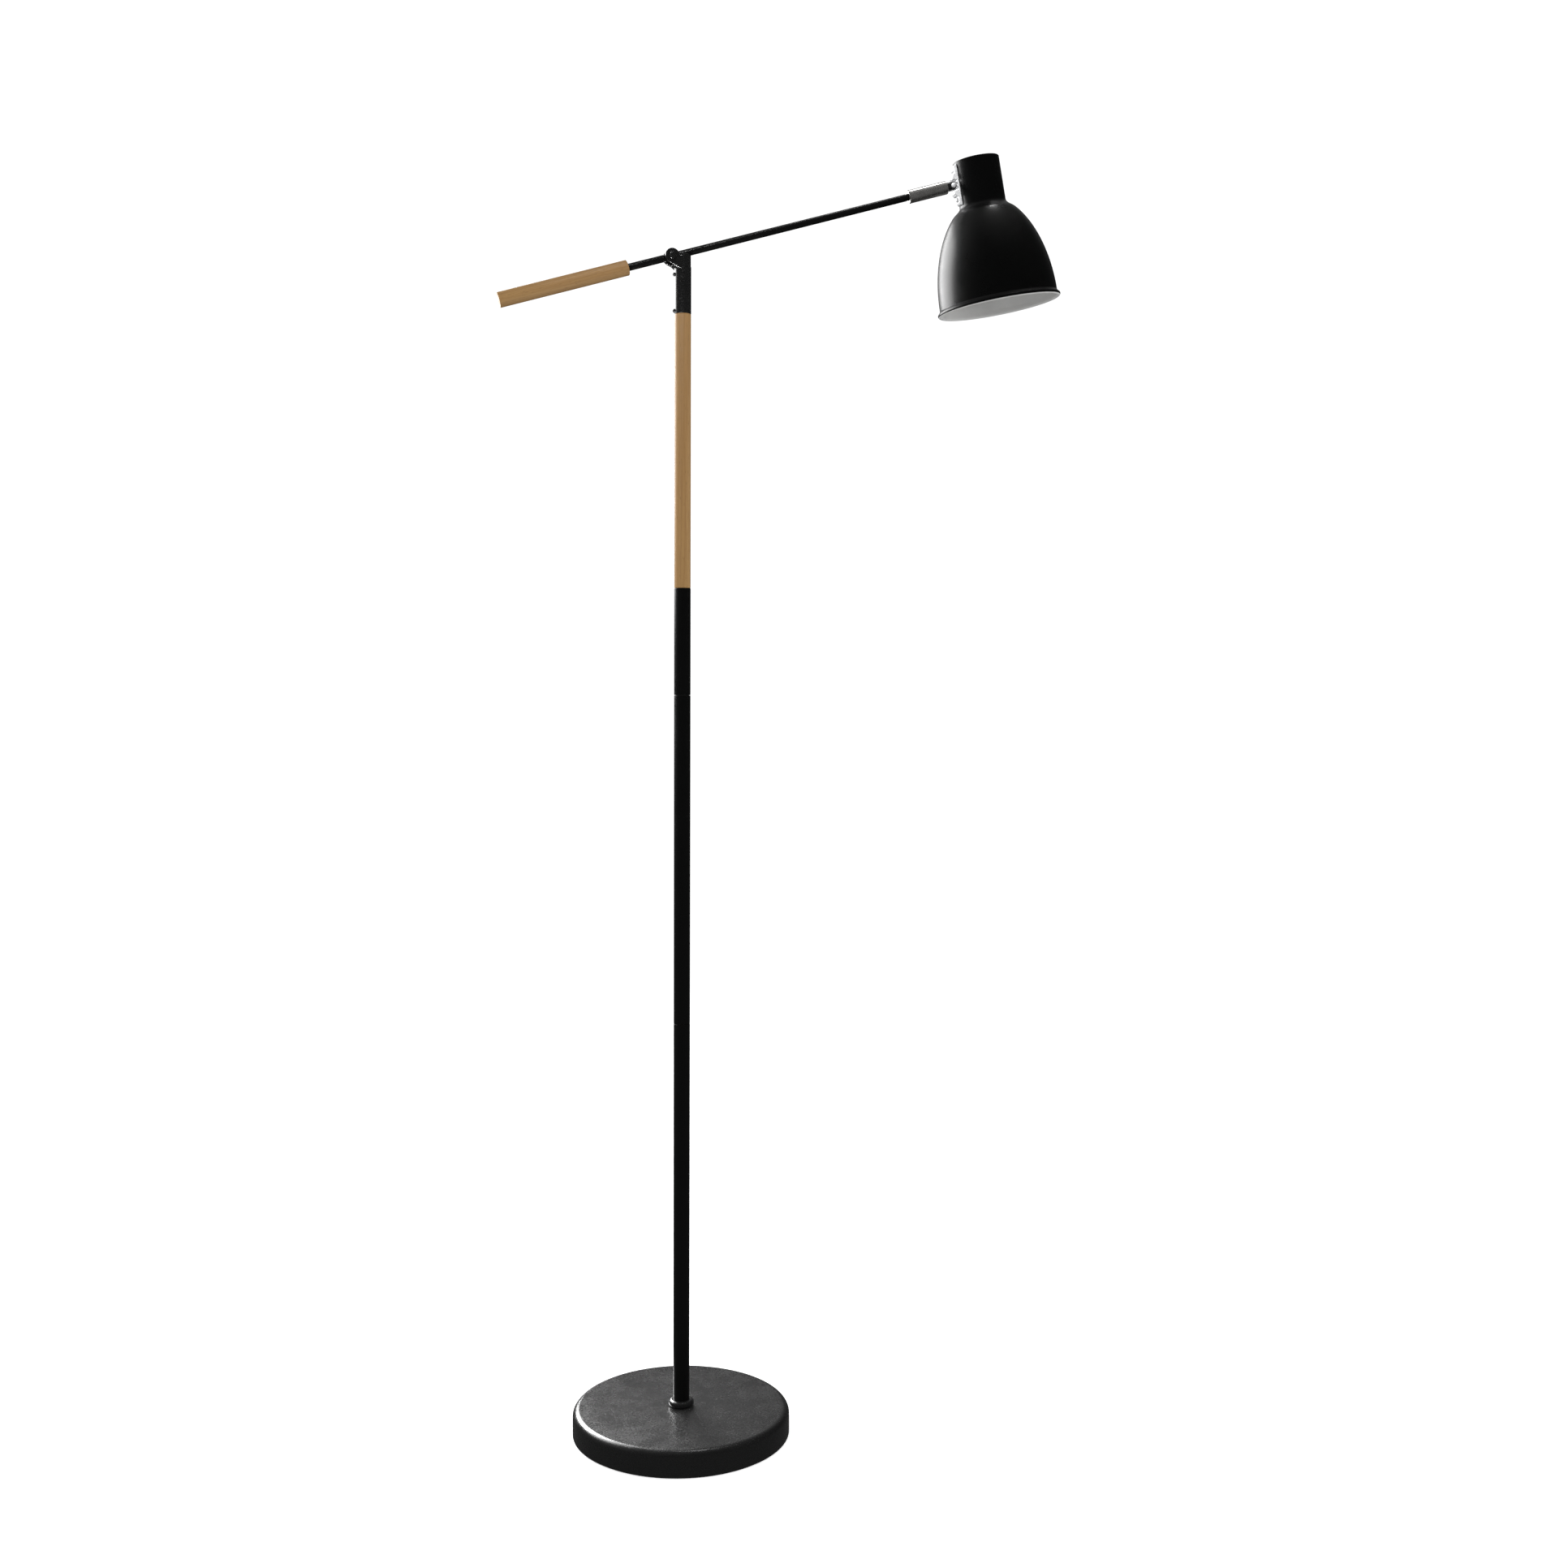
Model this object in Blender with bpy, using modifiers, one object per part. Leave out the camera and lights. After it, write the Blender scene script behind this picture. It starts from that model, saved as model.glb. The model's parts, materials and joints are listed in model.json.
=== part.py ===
"""Adjustable arm floor lamp: weighted round base, sectional pole, tilting arm and a spun bell shade.

The origin is the centre of the base's underside and +Z is up. The arm swings in the XZ plane, with the
shade towards +X and the wooden counterweight towards -X. Lengths are metres, written as numbers of MM.
"""

import math

import bmesh
import bpy

MM = 0.001
GAP = 0.3 * MM  # clearance between neighbouring pieces
PAST = 20 * MM  # how far a cutter reaches to both sides of the line it cuts along

# Base
BASE_RADIUS = 125 * MM
BASE_TOP = 30.6 * MM
BASE_FILLET = 8 * MM
COVER_WALL = 1.2 * MM
COVER_FOOT = 1.2 * MM  # height of the cover's lower edge above the floor
PAD_TOP = 2 * MM
WEIGHT_TOP = 20 * MM
WEIGHT_HUB_RADIUS = 20 * MM
COUNTERBORE_RADIUS = 15 * MM
COUNTERBORE_TOP = 12.8 * MM
NIPPLE_RADIUS = 5 * MM
NIPPLE_BORE = 3.4 * MM
NIPPLE_HOLE = NIPPLE_RADIUS + 0.35 * MM
GROMMET_HEIGHT = 11.5 * MM
GROMMET_BODY_RADIUS = 4.2 * MM
GROMMET_BORE = 3.2 * MM
CORD_CHANNEL_WIDTH = 13 * MM
CORD_CHANNEL_TOP = 18.5 * MM

# Pole
POLE_RADIUS = 9.3 * MM
POLE_BORE = 8.15 * MM
INSERT_RADIUS = POLE_BORE - GAP
POLE_FOOT = BASE_TOP + GAP
JOINTS = (477.2 * MM, 852.1 * MM)
COUPLER_BORE = 5.6 * MM
COUPLER_HALF = 22 * MM
JOINT_CHAMFER = 0.7 * MM
WOOD_BOTTOM = 972.6 * MM
WOOD_TOP = 1276.6 * MM
WOOD_RADIUS = 9.15 * MM
TENON = 14 * MM
CORE_BORE = 5.4 * MM
COLLAR_RADIUS = 14.5 * MM
COLLAR_HEIGHT = 7.6 * MM

# Top fitting and arm pivot
FITTING_TOP = 1342.4 * MM
FITTING_BORE_TOP = 1326 * MM
PIVOT = (-13.5 * MM, 0, 1339.1 * MM)
BOSS_RADIUS = 8 * MM
HUB_RADIUS = 4.8 * MM
EAR_RUN = 17.5 * MM  # length of the ears' straight lower edge, which ends inside the pole
EAR_OUTSIDE = 9 * MM  # half of the thickness over both ears
SLOT_HALF = 4.4 * MM
SLOT_RADIUS = 5.3 * MM  # clearance below the pivot for the rods
ARM_LOWEST = math.radians(-13)
ARM_HIGHEST = math.radians(62)
EAR_EDGE_SLOPE = math.radians(26.4)
WEB_SLOPE = math.radians(40)
WEB_OFFSET = 7 * MM  # distance of the web's underside from the pivot
WEB_HALF = 6.8 * MM
SET_SCREW_HEIGHTS = {"lower": 1280 * MM, "upper": 1320 * MM}
SET_SCREW_RADIUS = 1.5 * MM
SET_SCREW_HOLE = 1.8 * MM
LEAD_HOLE = 3.2 * MM
BOLT_RADIUS = 2.3 * MM
BOLT_HOLE = 2.6 * MM

# Arm: distances along it are counted from the pivot, positive towards the shade
ARM_TILT = math.radians(17.17)
ROD_RADIUS = 4 * MM
ROD_BORE = 3.1 * MM
ROD_START = 8.5 * MM
SPIGOT_RADIUS = 2.8 * MM
SPIGOT_END = 14 * MM
ROD_END = 301.5 * MM
GRIP_NEAR = -51.4 * MM
GRIP_FAR = -200 * MM
GRIP_RADIUS = 8.5 * MM
GRIP_BORE = 5.6 * MM
GRIP_SCREW_RADIUS = 3 * MM  # the threaded end of the rear rod, in the counterweight's core
GRIP_SCREW_LENGTH = 14 * MM
SLEEVE_START = 290.5 * MM
SLEEVE_END = 339.2 * MM
SLEEVE_RADIUS = 7.5 * MM
JOURNAL_BORE = 6.2 * MM
WEB_START = 305 * MM  # the sleeve's inner web, which holds the swivel screw's head
WEB_END = 308 * MM
KNUCKLE = 346.9 * MM
FORK_RADIUS = 5.4 * MM
FORK_SLOT_HALF = 2.4 * MM
FORK_FLAT = 4.8 * MM
TONGUE_HALF = 2.1 * MM
TONGUE_RADIUS = 5.2 * MM
KNUCKLE_SCREW_RADIUS = 1.35 * MM
KNUCKLE_HOLE = 1.65 * MM

# Head: depths are counted down the shade's axis from the top of its neck
HEAD_TOP = (346.7 * MM, 0, 1473.8 * MM)
HEAD_TILT = math.radians(10.75)
NECK_RADIUS = 27 * MM
NECK_DEPTH = 50 * MM
SHADE_WALL = 1 * MM
BELL_RADIUS = 69 * MM
BELL_LENGTH = 120.6 * MM
BELL_BOTTOM = 163 * MM
BEAD_RADIUS = 2.4 * MM
BEAD_DEPTH = 167.6 * MM
RIM_RADIUS = 72.1 * MM
BRIDGE_HALF_WIDTH = 5 * MM
BRIDGE_SCREW_OFFSET = 16.5 * MM
BRIDGE_END = 23.4 * MM  # from the stem's middle to each end of the bridge
LOBE_SEAT = 3.2 * MM  # how far the screws' seats stand off the neck
NECK_SCREW_RADIUS = 1.4 * MM
NECK_SCREW_HOLE = 1.7 * MM
SHANK_RADIUS = 3 * MM
SHANK_HOLE = 3.3 * MM
BRACKET_HALF_WIDTH = 6 * MM
BRACKET_BACK = 24.9 * MM
BRACKET_SHEET = 1.6 * MM
BRACKET_SHELF = 48 * MM
VENT_RADIUS = 4 * MM  # the hole in the neck's roof
HOLDER_RADIUS = 18.5 * MM
HOLDER_BORE = 16.4 * MM
HOLDER_MOUTH = 93 * MM
SHELL_TOP = 68.3 * MM
SHELL_MOUTH = 91 * MM

ALONG_X = (0, math.pi / 2, 0)  # turns a piece's Z axis to its parent's X axis
TO_FRONT = (math.pi / 2, 0, 0)  # turns a piece's Z axis to its parent's -Y axis
TO_REAR = (-math.pi / 2, 0, 0)

MATERIALS = {
    "black_paint": ((0.012, 0.012, 0.012), 0.42, 0.0),
    "black_tube": ((0.006, 0.006, 0.006), 0.38, 0.0),
    "shade_black": ((0.008, 0.008, 0.008), 0.35, 0.0),
    "beech": ((0.38, 0.22, 0.09), 0.55, 0.0),
    "nickel": ((0.55, 0.54, 0.52), 0.32, 1.0),
    "chrome": ((0.8, 0.8, 0.8), 0.12, 1.0),
    "steel": ((0.45, 0.45, 0.46), 0.35, 1.0),
    "cast_iron": ((0.05, 0.05, 0.052), 0.75, 0.0),
    "rubber": ((0.02, 0.02, 0.02), 0.8, 0.0),
    "black_plastic": ((0.015, 0.015, 0.015), 0.5, 0.0),
    "white_ceramic": ((0.75, 0.74, 0.7), 0.45, 0.0),
    "brass": ((0.7, 0.5, 0.2), 0.3, 1.0),
}


def clear_scene():
    for old in list(bpy.data.objects):
        bpy.data.objects.remove(old, do_unlink=True)


def new_collection(name, hidden=False):
    collection = bpy.data.collections.new(name)
    collection.hide_render = hidden
    bpy.context.scene.collection.children.link(collection)
    return collection


def make_material(name):
    colour, roughness, metallic = MATERIALS[name]
    material = bpy.data.materials.new(name)
    material.use_nodes = True
    shader = material.node_tree.nodes["Principled BSDF"]
    shader.inputs["Base Color"].default_value = (*colour, 1)
    shader.inputs["Roughness"].default_value = roughness
    shader.inputs["Metallic"].default_value = metallic
    return material


def make_empty(name, place, turn=(0, 0, 0)):
    empty = bpy.data.objects.new(name, None)
    empty.empty_display_size = 0.03
    empty.location = place
    empty.rotation_euler = turn
    PARTS.objects.link(empty)
    return empty


def add_part(name, mesh, material, parent=None, place=(0, 0, 0), turn=(0, 0, 0)):
    """Names a piece, gives it its own material and puts it in its parent's frame."""
    piece = bpy.data.objects.new(name, mesh)
    finish = make_material(material)
    finish.name = f"{name}_{material}"
    mesh.materials.clear()
    mesh.materials.append(finish)
    piece.parent = parent
    piece.location = place
    piece.rotation_euler = turn
    PARTS.objects.link(piece)
    return piece


def add_cutter(name, mesh, parent=None, place=(0, 0, 0), turn=(0, 0, 0)):
    """A helper solid for a Boolean, kept out of the model."""
    helper = bpy.data.objects.new(name, mesh)
    helper.parent = parent
    helper.location = place
    helper.rotation_euler = turn
    helper.hide_render = True
    helper.display_type = "WIRE"
    CUTTERS.objects.link(helper)
    return helper


def combine(piece, helper, operation="DIFFERENCE"):
    modifier = piece.modifiers.new(helper.name, "BOOLEAN")
    modifier.operation = operation
    modifier.solver = "EXACT"
    modifier.object = helper


def arc(centre, radius, start, end, count):
    """Points of a round stretch of outline, from one angle in degrees to another."""
    points = []
    for i in range(count + 1):
        angle = math.radians(start + (end - start) * i / count)
        points.append((centre[0] + radius * math.cos(angle), centre[1] + radius * math.sin(angle)))
    return points


def signed_area(points):
    following = points[1:] + points[:1]
    return sum(a[0] * b[1] - b[0] * a[1] for a, b in zip(points, following)) / 2


def turned(profile, steps, closed):
    """The mesh of a profile of (radius, height) points turned about Z by a Screw modifier.

    A closed profile makes a ring or tube. An open one starts and ends on the axis and makes a solid.
    """
    if signed_area(profile) > 0:
        profile = profile[::-1]
    count = len(profile)
    edges = [(i, i + 1) for i in range(count - 1)]
    if closed:
        edges.append((count - 1, 0))
    mesh = bpy.data.meshes.new("profile")
    mesh.from_pydata([(radius, 0, height) for radius, height in profile], edges, [])
    guide = bpy.data.objects.new("guide", mesh)
    CUTTERS.objects.link(guide)
    screw = guide.modifiers.new("turn", "SCREW")
    screw.steps = steps
    screw.render_steps = steps
    screw.use_merge_vertices = True
    screw.merge_threshold = 0.00001
    return as_mesh(guide)


def as_mesh(guide):
    """Turns a guide curve or profile into a welded mesh with smooth round faces, and removes the guide."""
    bpy.context.view_layer.update()
    graph = bpy.context.evaluated_depsgraph_get()
    mesh = bpy.data.meshes.new_from_object(guide.evaluated_get(graph))
    bpy.data.objects.remove(guide, do_unlink=True)
    shape = bmesh.new()
    shape.from_mesh(mesh)
    bmesh.ops.remove_doubles(shape, verts=shape.verts, dist=0.000001)
    bmesh.ops.dissolve_limit(shape, angle_limit=0.001, verts=shape.verts, edges=shape.edges)
    bmesh.ops.recalc_face_normals(shape, faces=shape.faces)
    shape.to_mesh(mesh)
    shape.free()
    mesh.shade_smooth()
    mesh.set_sharp_from_angle(angle=math.radians(35))
    return mesh


def solid(profile, steps=16):
    """A turned solid. The profile is open and the axis closes it."""
    return turned(profile, steps, closed=False)


def ring(profile, steps=16):
    """A turned ring. The profile is a closed loop clear of the axis."""
    return turned(profile, steps, closed=True)


def cylinder(radius, low, high, steps=16, chamfer=0.0):
    rim = [(0, high), (radius - chamfer, high), (radius, high - chamfer)]
    foot = [(radius, low + chamfer), (radius - chamfer, low), (0, low)]
    if chamfer == 0:
        return solid([(0, high), (radius, high), (radius, low), (0, low)], steps)
    return solid(rim + foot, steps)


def tube(radius, bore, low, high, steps=20, chamfer=0.0):
    if chamfer == 0:
        return ring([(bore, high), (radius, high), (radius, low), (bore, low)], steps)
    head = [(bore, high), (radius - chamfer, high), (radius, high - chamfer)]
    foot = [(radius, low + chamfer), (radius - chamfer, low), (bore, low)]
    return ring(head + foot, steps)


def domed(head_radius, head_height, shank_radius, shank_length, steps=16):
    """A screw with a domed head above Z = 0 and its shank below."""
    profile = [(0, head_height)]
    for angle in (65, 40, 15):
        sine = math.sin(math.radians(angle))
        profile.append((head_radius * math.cos(math.radians(angle)), head_height * sine))
    profile += [(head_radius, 0), (shank_radius, 0), (shank_radius, -shank_length), (0, -shank_length)]
    return solid(profile, steps)


def add_nut(name, across_flats, bore, thickness, parent=None, place=(0, 0, 0), turn=(0, 0, 0)):
    """A hexagon nut from its place up its own Z axis, with a round hole through it."""
    corner = across_flats / 2 / math.cos(math.pi / 6)
    shape = cylinder(corner, 0, thickness, 6)
    shape.shade_flat()
    piece = add_part(name, shape, "steel", parent, place, turn)
    hole = cylinder(bore, -1 * MM, thickness + 1 * MM)
    combine(piece, add_cutter(f"{name}_hole", hole, parent, place, turn))


def box(low, high):
    """A box between two corners."""
    shape = bmesh.new()
    bmesh.ops.create_cube(shape, size=1)
    for vertex in shape.verts:
        for axis in range(3):
            vertex.co[axis] = high[axis] if vertex.co[axis] > 0 else low[axis]
    mesh = bpy.data.meshes.new("box")
    shape.to_mesh(mesh)
    shape.free()
    return mesh


def plate(outline, half_thickness):
    """A flat piece: an (x, z) outline, filled and then thickened both ways."""
    curve = bpy.data.curves.new("outline", "CURVE")
    curve.dimensions = "2D"
    curve.fill_mode = "BOTH"
    curve.extrude = half_thickness
    spline = curve.splines.new("POLY")
    spline.points.add(len(outline) - 1)
    for point, (x, z) in zip(spline.points, outline):
        point.co = (x, z, 0, 1)
    spline.use_cyclic_u = True
    guide = bpy.data.objects.new("guide", curve)
    CUTTERS.objects.link(guide)
    return as_mesh(guide)


def bevelled(piece, width, segments=2):
    bevel = piece.modifiers.new("soft_edges", "BEVEL")
    bevel.width = width
    bevel.segments = segments
    bevel.limit_method = "ANGLE"
    bevel.angle_limit = math.radians(50)


# ------------------------------------------------------------------ base


def make_base_cover():
    inside = BASE_RADIUS - COVER_WALL
    roof = BASE_TOP - COVER_WALL
    corner = (BASE_RADIUS - BASE_FILLET, BASE_TOP - BASE_FILLET)
    profile = [(NIPPLE_HOLE, BASE_TOP)] + arc(corner, BASE_FILLET, 90, 0, 5)
    profile += [(BASE_RADIUS, COVER_FOOT), (inside, COVER_FOOT)]
    profile += arc(corner, BASE_FILLET - COVER_WALL, 0, 90, 3) + [(NIPPLE_HOLE, roof)]
    cover = add_part("base_cover", ring(profile, 56), "black_paint")
    hole = cylinder(GROMMET_BODY_RADIUS + GAP, 0, 20 * MM)
    cut = add_cutter("inlet_hole", hole, place=(0, BASE_RADIUS - 10 * MM, GROMMET_HEIGHT), turn=TO_REAR)
    combine(cover, cut)


def make_base_weight():
    edge = BASE_RADIUS - COVER_WALL - 0.6 * MM
    low = PAD_TOP + GAP
    hub_top = BASE_TOP - COVER_WALL - GAP
    chamfer = 2 * MM
    profile = [
        (NIPPLE_HOLE, hub_top),
        (WEIGHT_HUB_RADIUS, hub_top),
        (WEIGHT_HUB_RADIUS, WEIGHT_TOP),
        (edge - chamfer, WEIGHT_TOP),
        (edge, WEIGHT_TOP - chamfer),
        (edge, low),
        (COUNTERBORE_RADIUS, low),
        (COUNTERBORE_RADIUS, COUNTERBORE_TOP),
        (NIPPLE_HOLE, COUNTERBORE_TOP),
    ]
    weight = add_part("base_weight", ring(profile, 48), "cast_iron")
    half = CORD_CHANNEL_WIDTH / 2
    channel = box((-half, 10 * MM, -5 * MM), (half, 140 * MM, CORD_CHANNEL_TOP))
    combine(weight, add_cutter("cord_channel", channel))


def make_base_fixings():
    pad_radius = BASE_RADIUS - COVER_WALL - 0.8 * MM
    add_part("base_pad", cylinder(pad_radius, 0, PAD_TOP, 48), "rubber")
    washer_low = 10.8 * MM
    add_part("base_washer", tube(13 * MM, NIPPLE_HOLE, washer_low, washer_low + 1.7 * MM), "steel")
    add_nut("base_nut", 17 * MM, NIPPLE_HOLE, 6 * MM, place=(0, 0, 4.5 * MM))
    add_part("base_nipple", tube(NIPPLE_RADIUS, NIPPLE_BORE, 4.2 * MM, 56 * MM, 16), "steel")


def make_cord_grommet():
    """The lead's inlet in the rear of the base, turned about the line of its bore."""
    outer_face = BASE_RADIUS + GAP
    inner_face = BASE_RADIUS - COVER_WALL - 0.5 * MM
    flange = 6.2 * MM
    lip = 5.5 * MM
    profile = [
        (GROMMET_BORE, outer_face + 1.6 * MM),
        (flange - 1 * MM, outer_face + 1.6 * MM),
        (flange, outer_face + 0.6 * MM),
        (flange, outer_face),
        (GROMMET_BODY_RADIUS, outer_face),
        (GROMMET_BODY_RADIUS, inner_face),
        (lip, inner_face),
        (lip - 0.5 * MM, inner_face - 1.6 * MM),
        (GROMMET_BORE, inner_face - 1.6 * MM),
    ]
    add_part("cord_grommet", ring(profile, 20), "rubber", place=(0, 0, GROMMET_HEIGHT), turn=TO_REAR)


# ------------------------------------------------------------------ pole


def make_collar():
    low = POLE_FOOT
    bore = POLE_RADIUS + GAP
    half = COLLAR_HEIGHT / 2
    middle = (COLLAR_RADIUS - half, low + half)
    profile = [(bore, low + COLLAR_HEIGHT)] + arc(middle, half, 90, -90, 6) + [(bore, low)]
    add_part("base_collar", ring(profile, 24), "black_paint")


def make_pole_tubes():
    edges = {
        "lower_tube": (POLE_FOOT, JOINTS[0] - GAP / 2),
        "middle_tube": (JOINTS[0] + GAP / 2, JOINTS[1] - GAP / 2),
        "upper_tube": (JOINTS[1] + GAP / 2, WOOD_BOTTOM - GAP),
    }
    for name, (low, high) in edges.items():
        shape = tube(POLE_RADIUS, POLE_BORE, low, high, 24, JOINT_CHAMFER)
        add_part(name, shape, "black_tube")
    for name, height in zip(("lower_coupler", "upper_coupler"), JOINTS):
        shape = tube(INSERT_RADIUS, COUPLER_BORE, height - COUPLER_HALF, height + COUPLER_HALF, 16)
        add_part(name, shape, "steel")
    plug_low = POLE_FOOT + 1 * MM
    add_part("foot_plug", tube(INSERT_RADIUS, NIPPLE_HOLE, plug_low, plug_low + 20 * MM, 16), "steel")


def make_wood_pole():
    profile = [
        (CORE_BORE, WOOD_TOP + TENON),
        (INSERT_RADIUS, WOOD_TOP + TENON),
        (INSERT_RADIUS, WOOD_TOP),
        (WOOD_RADIUS, WOOD_TOP),
        (WOOD_RADIUS, WOOD_BOTTOM),
        (INSERT_RADIUS, WOOD_BOTTOM),
        (INSERT_RADIUS, WOOD_BOTTOM - TENON),
        (CORE_BORE, WOOD_BOTTOM - TENON),
    ]
    add_part("wood_pole", ring(profile, 24), "beech")
    core_top = FITTING_BORE_TOP - 3 * MM
    core = tube(NIPPLE_RADIUS, 3.8 * MM, WOOD_BOTTOM - 40 * MM, core_top, 16)
    add_part("core_tube", core, "steel")


# ------------------------------------------------------------------ top fitting


def ear_outline():
    """Outline of the two ears: a round boss whose straight lower edge runs into the pole."""
    tangent = -90 - math.degrees(EAR_EDGE_SLOPE)
    boss = arc((0, 0), BOSS_RADIUS, tangent + 360, 0, 10)
    run = EAR_RUN
    low_x = boss[0][0] + run * math.cos(EAR_EDGE_SLOPE)
    low_z = boss[0][1] - run * math.sin(EAR_EDGE_SLOPE)
    return boss + [(low_x, 0), (low_x, low_z)]


def web_outline():
    """Outline of the narrower web under the ears, whose steeper underside ends on the pole."""
    foot_x = -WEB_OFFSET * math.sin(WEB_SLOPE)
    foot_z = -WEB_OFFSET * math.cos(WEB_SLOPE)
    left = -2.4 * MM
    right = 13 * MM
    start = (foot_x + left * math.cos(WEB_SLOPE), foot_z - left * math.sin(WEB_SLOPE))
    end = (foot_x + right * math.cos(WEB_SLOPE), foot_z - right * math.sin(WEB_SLOPE))
    top = -1 * MM  # inside the ears
    return [start, (-5 * MM, top), (9 * MM, top), (9 * MM, end[1]), end]


def slot_outline():
    """Everything that the rods need about the pivot, from the arm's lowest tilt to its highest."""
    reach = 40 * MM
    front = (math.cos(ARM_LOWEST), math.sin(ARM_LOWEST))
    front_foot = (SLOT_RADIUS * math.sin(ARM_LOWEST), -SLOT_RADIUS * math.cos(ARM_LOWEST))
    rear = (-math.cos(ARM_HIGHEST), -math.sin(ARM_HIGHEST))
    rear_foot = (SLOT_RADIUS * math.sin(ARM_HIGHEST), -SLOT_RADIUS * math.cos(ARM_HIGHEST))
    across = rear[0] * front[1] - rear[1] * front[0]
    offset = (front_foot[0] - rear_foot[0], front_foot[1] - rear_foot[1])
    along = (offset[0] * front[1] - offset[1] * front[0]) / across
    corner = (rear_foot[0] + along * rear[0], rear_foot[1] + along * rear[1])
    front_end = (front_foot[0] + reach * front[0], front_foot[1] + reach * front[1])
    rear_end = (rear_foot[0] + reach * rear[0], rear_foot[1] + reach * rear[1])
    return [corner, front_end, (front_end[0], reach), (-reach, reach), (-reach, rear_end[1]), rear_end]


def make_top_fitting():
    low = WOOD_TOP + GAP
    rim = 1 * MM
    profile = [
        (0, FITTING_TOP),
        (POLE_RADIUS - rim, FITTING_TOP),
        (POLE_RADIUS, FITTING_TOP - rim),
        (POLE_RADIUS, low),
        (POLE_BORE, low),
        (POLE_BORE, WOOD_TOP + TENON + GAP),
        (CORE_BORE, WOOD_TOP + TENON + GAP),
        (CORE_BORE, FITTING_BORE_TOP),
        (0, FITTING_BORE_TOP),
    ]
    fitting = add_part("top_fitting", solid(profile, 28), "black_paint")
    ears = add_cutter("ears", plate(ear_outline(), EAR_OUTSIDE), place=PIVOT, turn=TO_FRONT)
    bevelled(ears, 1.1 * MM)
    combine(fitting, ears, "UNION")
    web = add_cutter("web", plate(web_outline(), WEB_HALF), place=PIVOT, turn=TO_FRONT)
    combine(fitting, web, "UNION")
    slot = add_cutter("rod_slot", plate(slot_outline(), SLOT_HALF), place=PIVOT, turn=TO_FRONT)
    combine(fitting, slot)
    bolt = add_cutter("bolt_hole", cylinder(BOLT_HOLE, -PAST, PAST), place=PIVOT, turn=TO_FRONT)
    combine(fitting, bolt)
    lead = cylinder(LEAD_HOLE, FITTING_BORE_TOP - 11 * MM, FITTING_TOP + 7.6 * MM, 16)
    lead = add_cutter("lead_hole", lead)
    combine(fitting, lead)
    for name, height in SET_SCREW_HEIGHTS.items():
        hole = cylinder(SET_SCREW_HOLE, -PAST, 0, 16)
        cut = add_cutter(f"set_screw_hole_{name}", hole, place=(0, 0, height), turn=ALONG_X)
        combine(fitting, cut)


def make_set_screws():
    """Domed screws on the counterweight's side. The lower one grips the wood, the upper the core tube."""
    shank_ends = {"lower": INSERT_RADIUS + 0.4 * MM, "upper": NIPPLE_RADIUS + 0.5 * MM}
    head_height = 2.1 * MM
    seat = POLE_RADIUS + GAP
    for name, height in SET_SCREW_HEIGHTS.items():
        length = seat - shank_ends[name]
        shape = domed(2.2 * MM, head_height, SET_SCREW_RADIUS, length, 16)
        turn = (0, -math.pi / 2, 0)
        add_part(f"set_screw_{name}", shape, "black_paint", place=(-seat, 0, height), turn=turn)


# ------------------------------------------------------------------ arm


def make_pivot_fixings():
    seat = EAR_OUTSIDE + GAP
    bolt = domed(4.4 * MM, 2.3 * MM, BOLT_RADIUS, 2 * seat + 2.2 * MM)
    place = (PIVOT[0], PIVOT[1] - seat, PIVOT[2])
    add_part("pivot_bolt", bolt, "black_paint", place=place, turn=TO_FRONT)
    cap = [(0, 4.6 * MM)]
    for angle in (65, 40, 15):
        cap.append((4.4 * MM * math.cos(math.radians(angle)), 4.6 * MM * math.sin(math.radians(angle))))
    cap += [(4.4 * MM, 0), (BOLT_HOLE, 0), (BOLT_HOLE, 2.8 * MM), (0, 2.8 * MM)]
    place = (PIVOT[0], PIVOT[1] + seat, PIVOT[2])
    add_part("pivot_cap_nut", solid(cap, 16), "black_paint", place=place, turn=TO_REAR)
    for name, turn in (("front", TO_FRONT), ("rear", TO_REAR)):
        washer = tube(HUB_RADIUS, BOLT_HOLE, 3.5 * MM, 4.1 * MM, 16)
        add_part(f"pivot_washer_{name}", washer, "steel", parent=ARM, turn=turn)


def make_arm_hub():
    half = 3.2 * MM
    eye = cylinder(HUB_RADIUS, -half, half, 20)
    hub = add_part("arm_hub", eye, "black_paint", parent=ARM, turn=TO_FRONT)
    reach = ROD_START - GAP
    height = ROD_RADIUS - 0.2 * MM
    block = box((-reach, -half, -height), (reach, half, height))
    combine(hub, add_cutter("hub_block", block, parent=ARM), "UNION")
    spigots = cylinder(SPIGOT_RADIUS, -SPIGOT_END, SPIGOT_END, 12)
    bar = add_cutter("hub_spigots", spigots, parent=ARM, turn=ALONG_X)
    combine(hub, bar, "UNION")
    hole = add_cutter("hub_hole", cylinder(BOLT_HOLE, -PAST, PAST), parent=ARM, turn=TO_FRONT)
    combine(hub, hole)


def on_arm(name, mesh, material):
    """Adds a piece that is turned about the rods' common line."""
    return add_part(name, mesh, material, parent=ARM, turn=ALONG_X)


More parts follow.
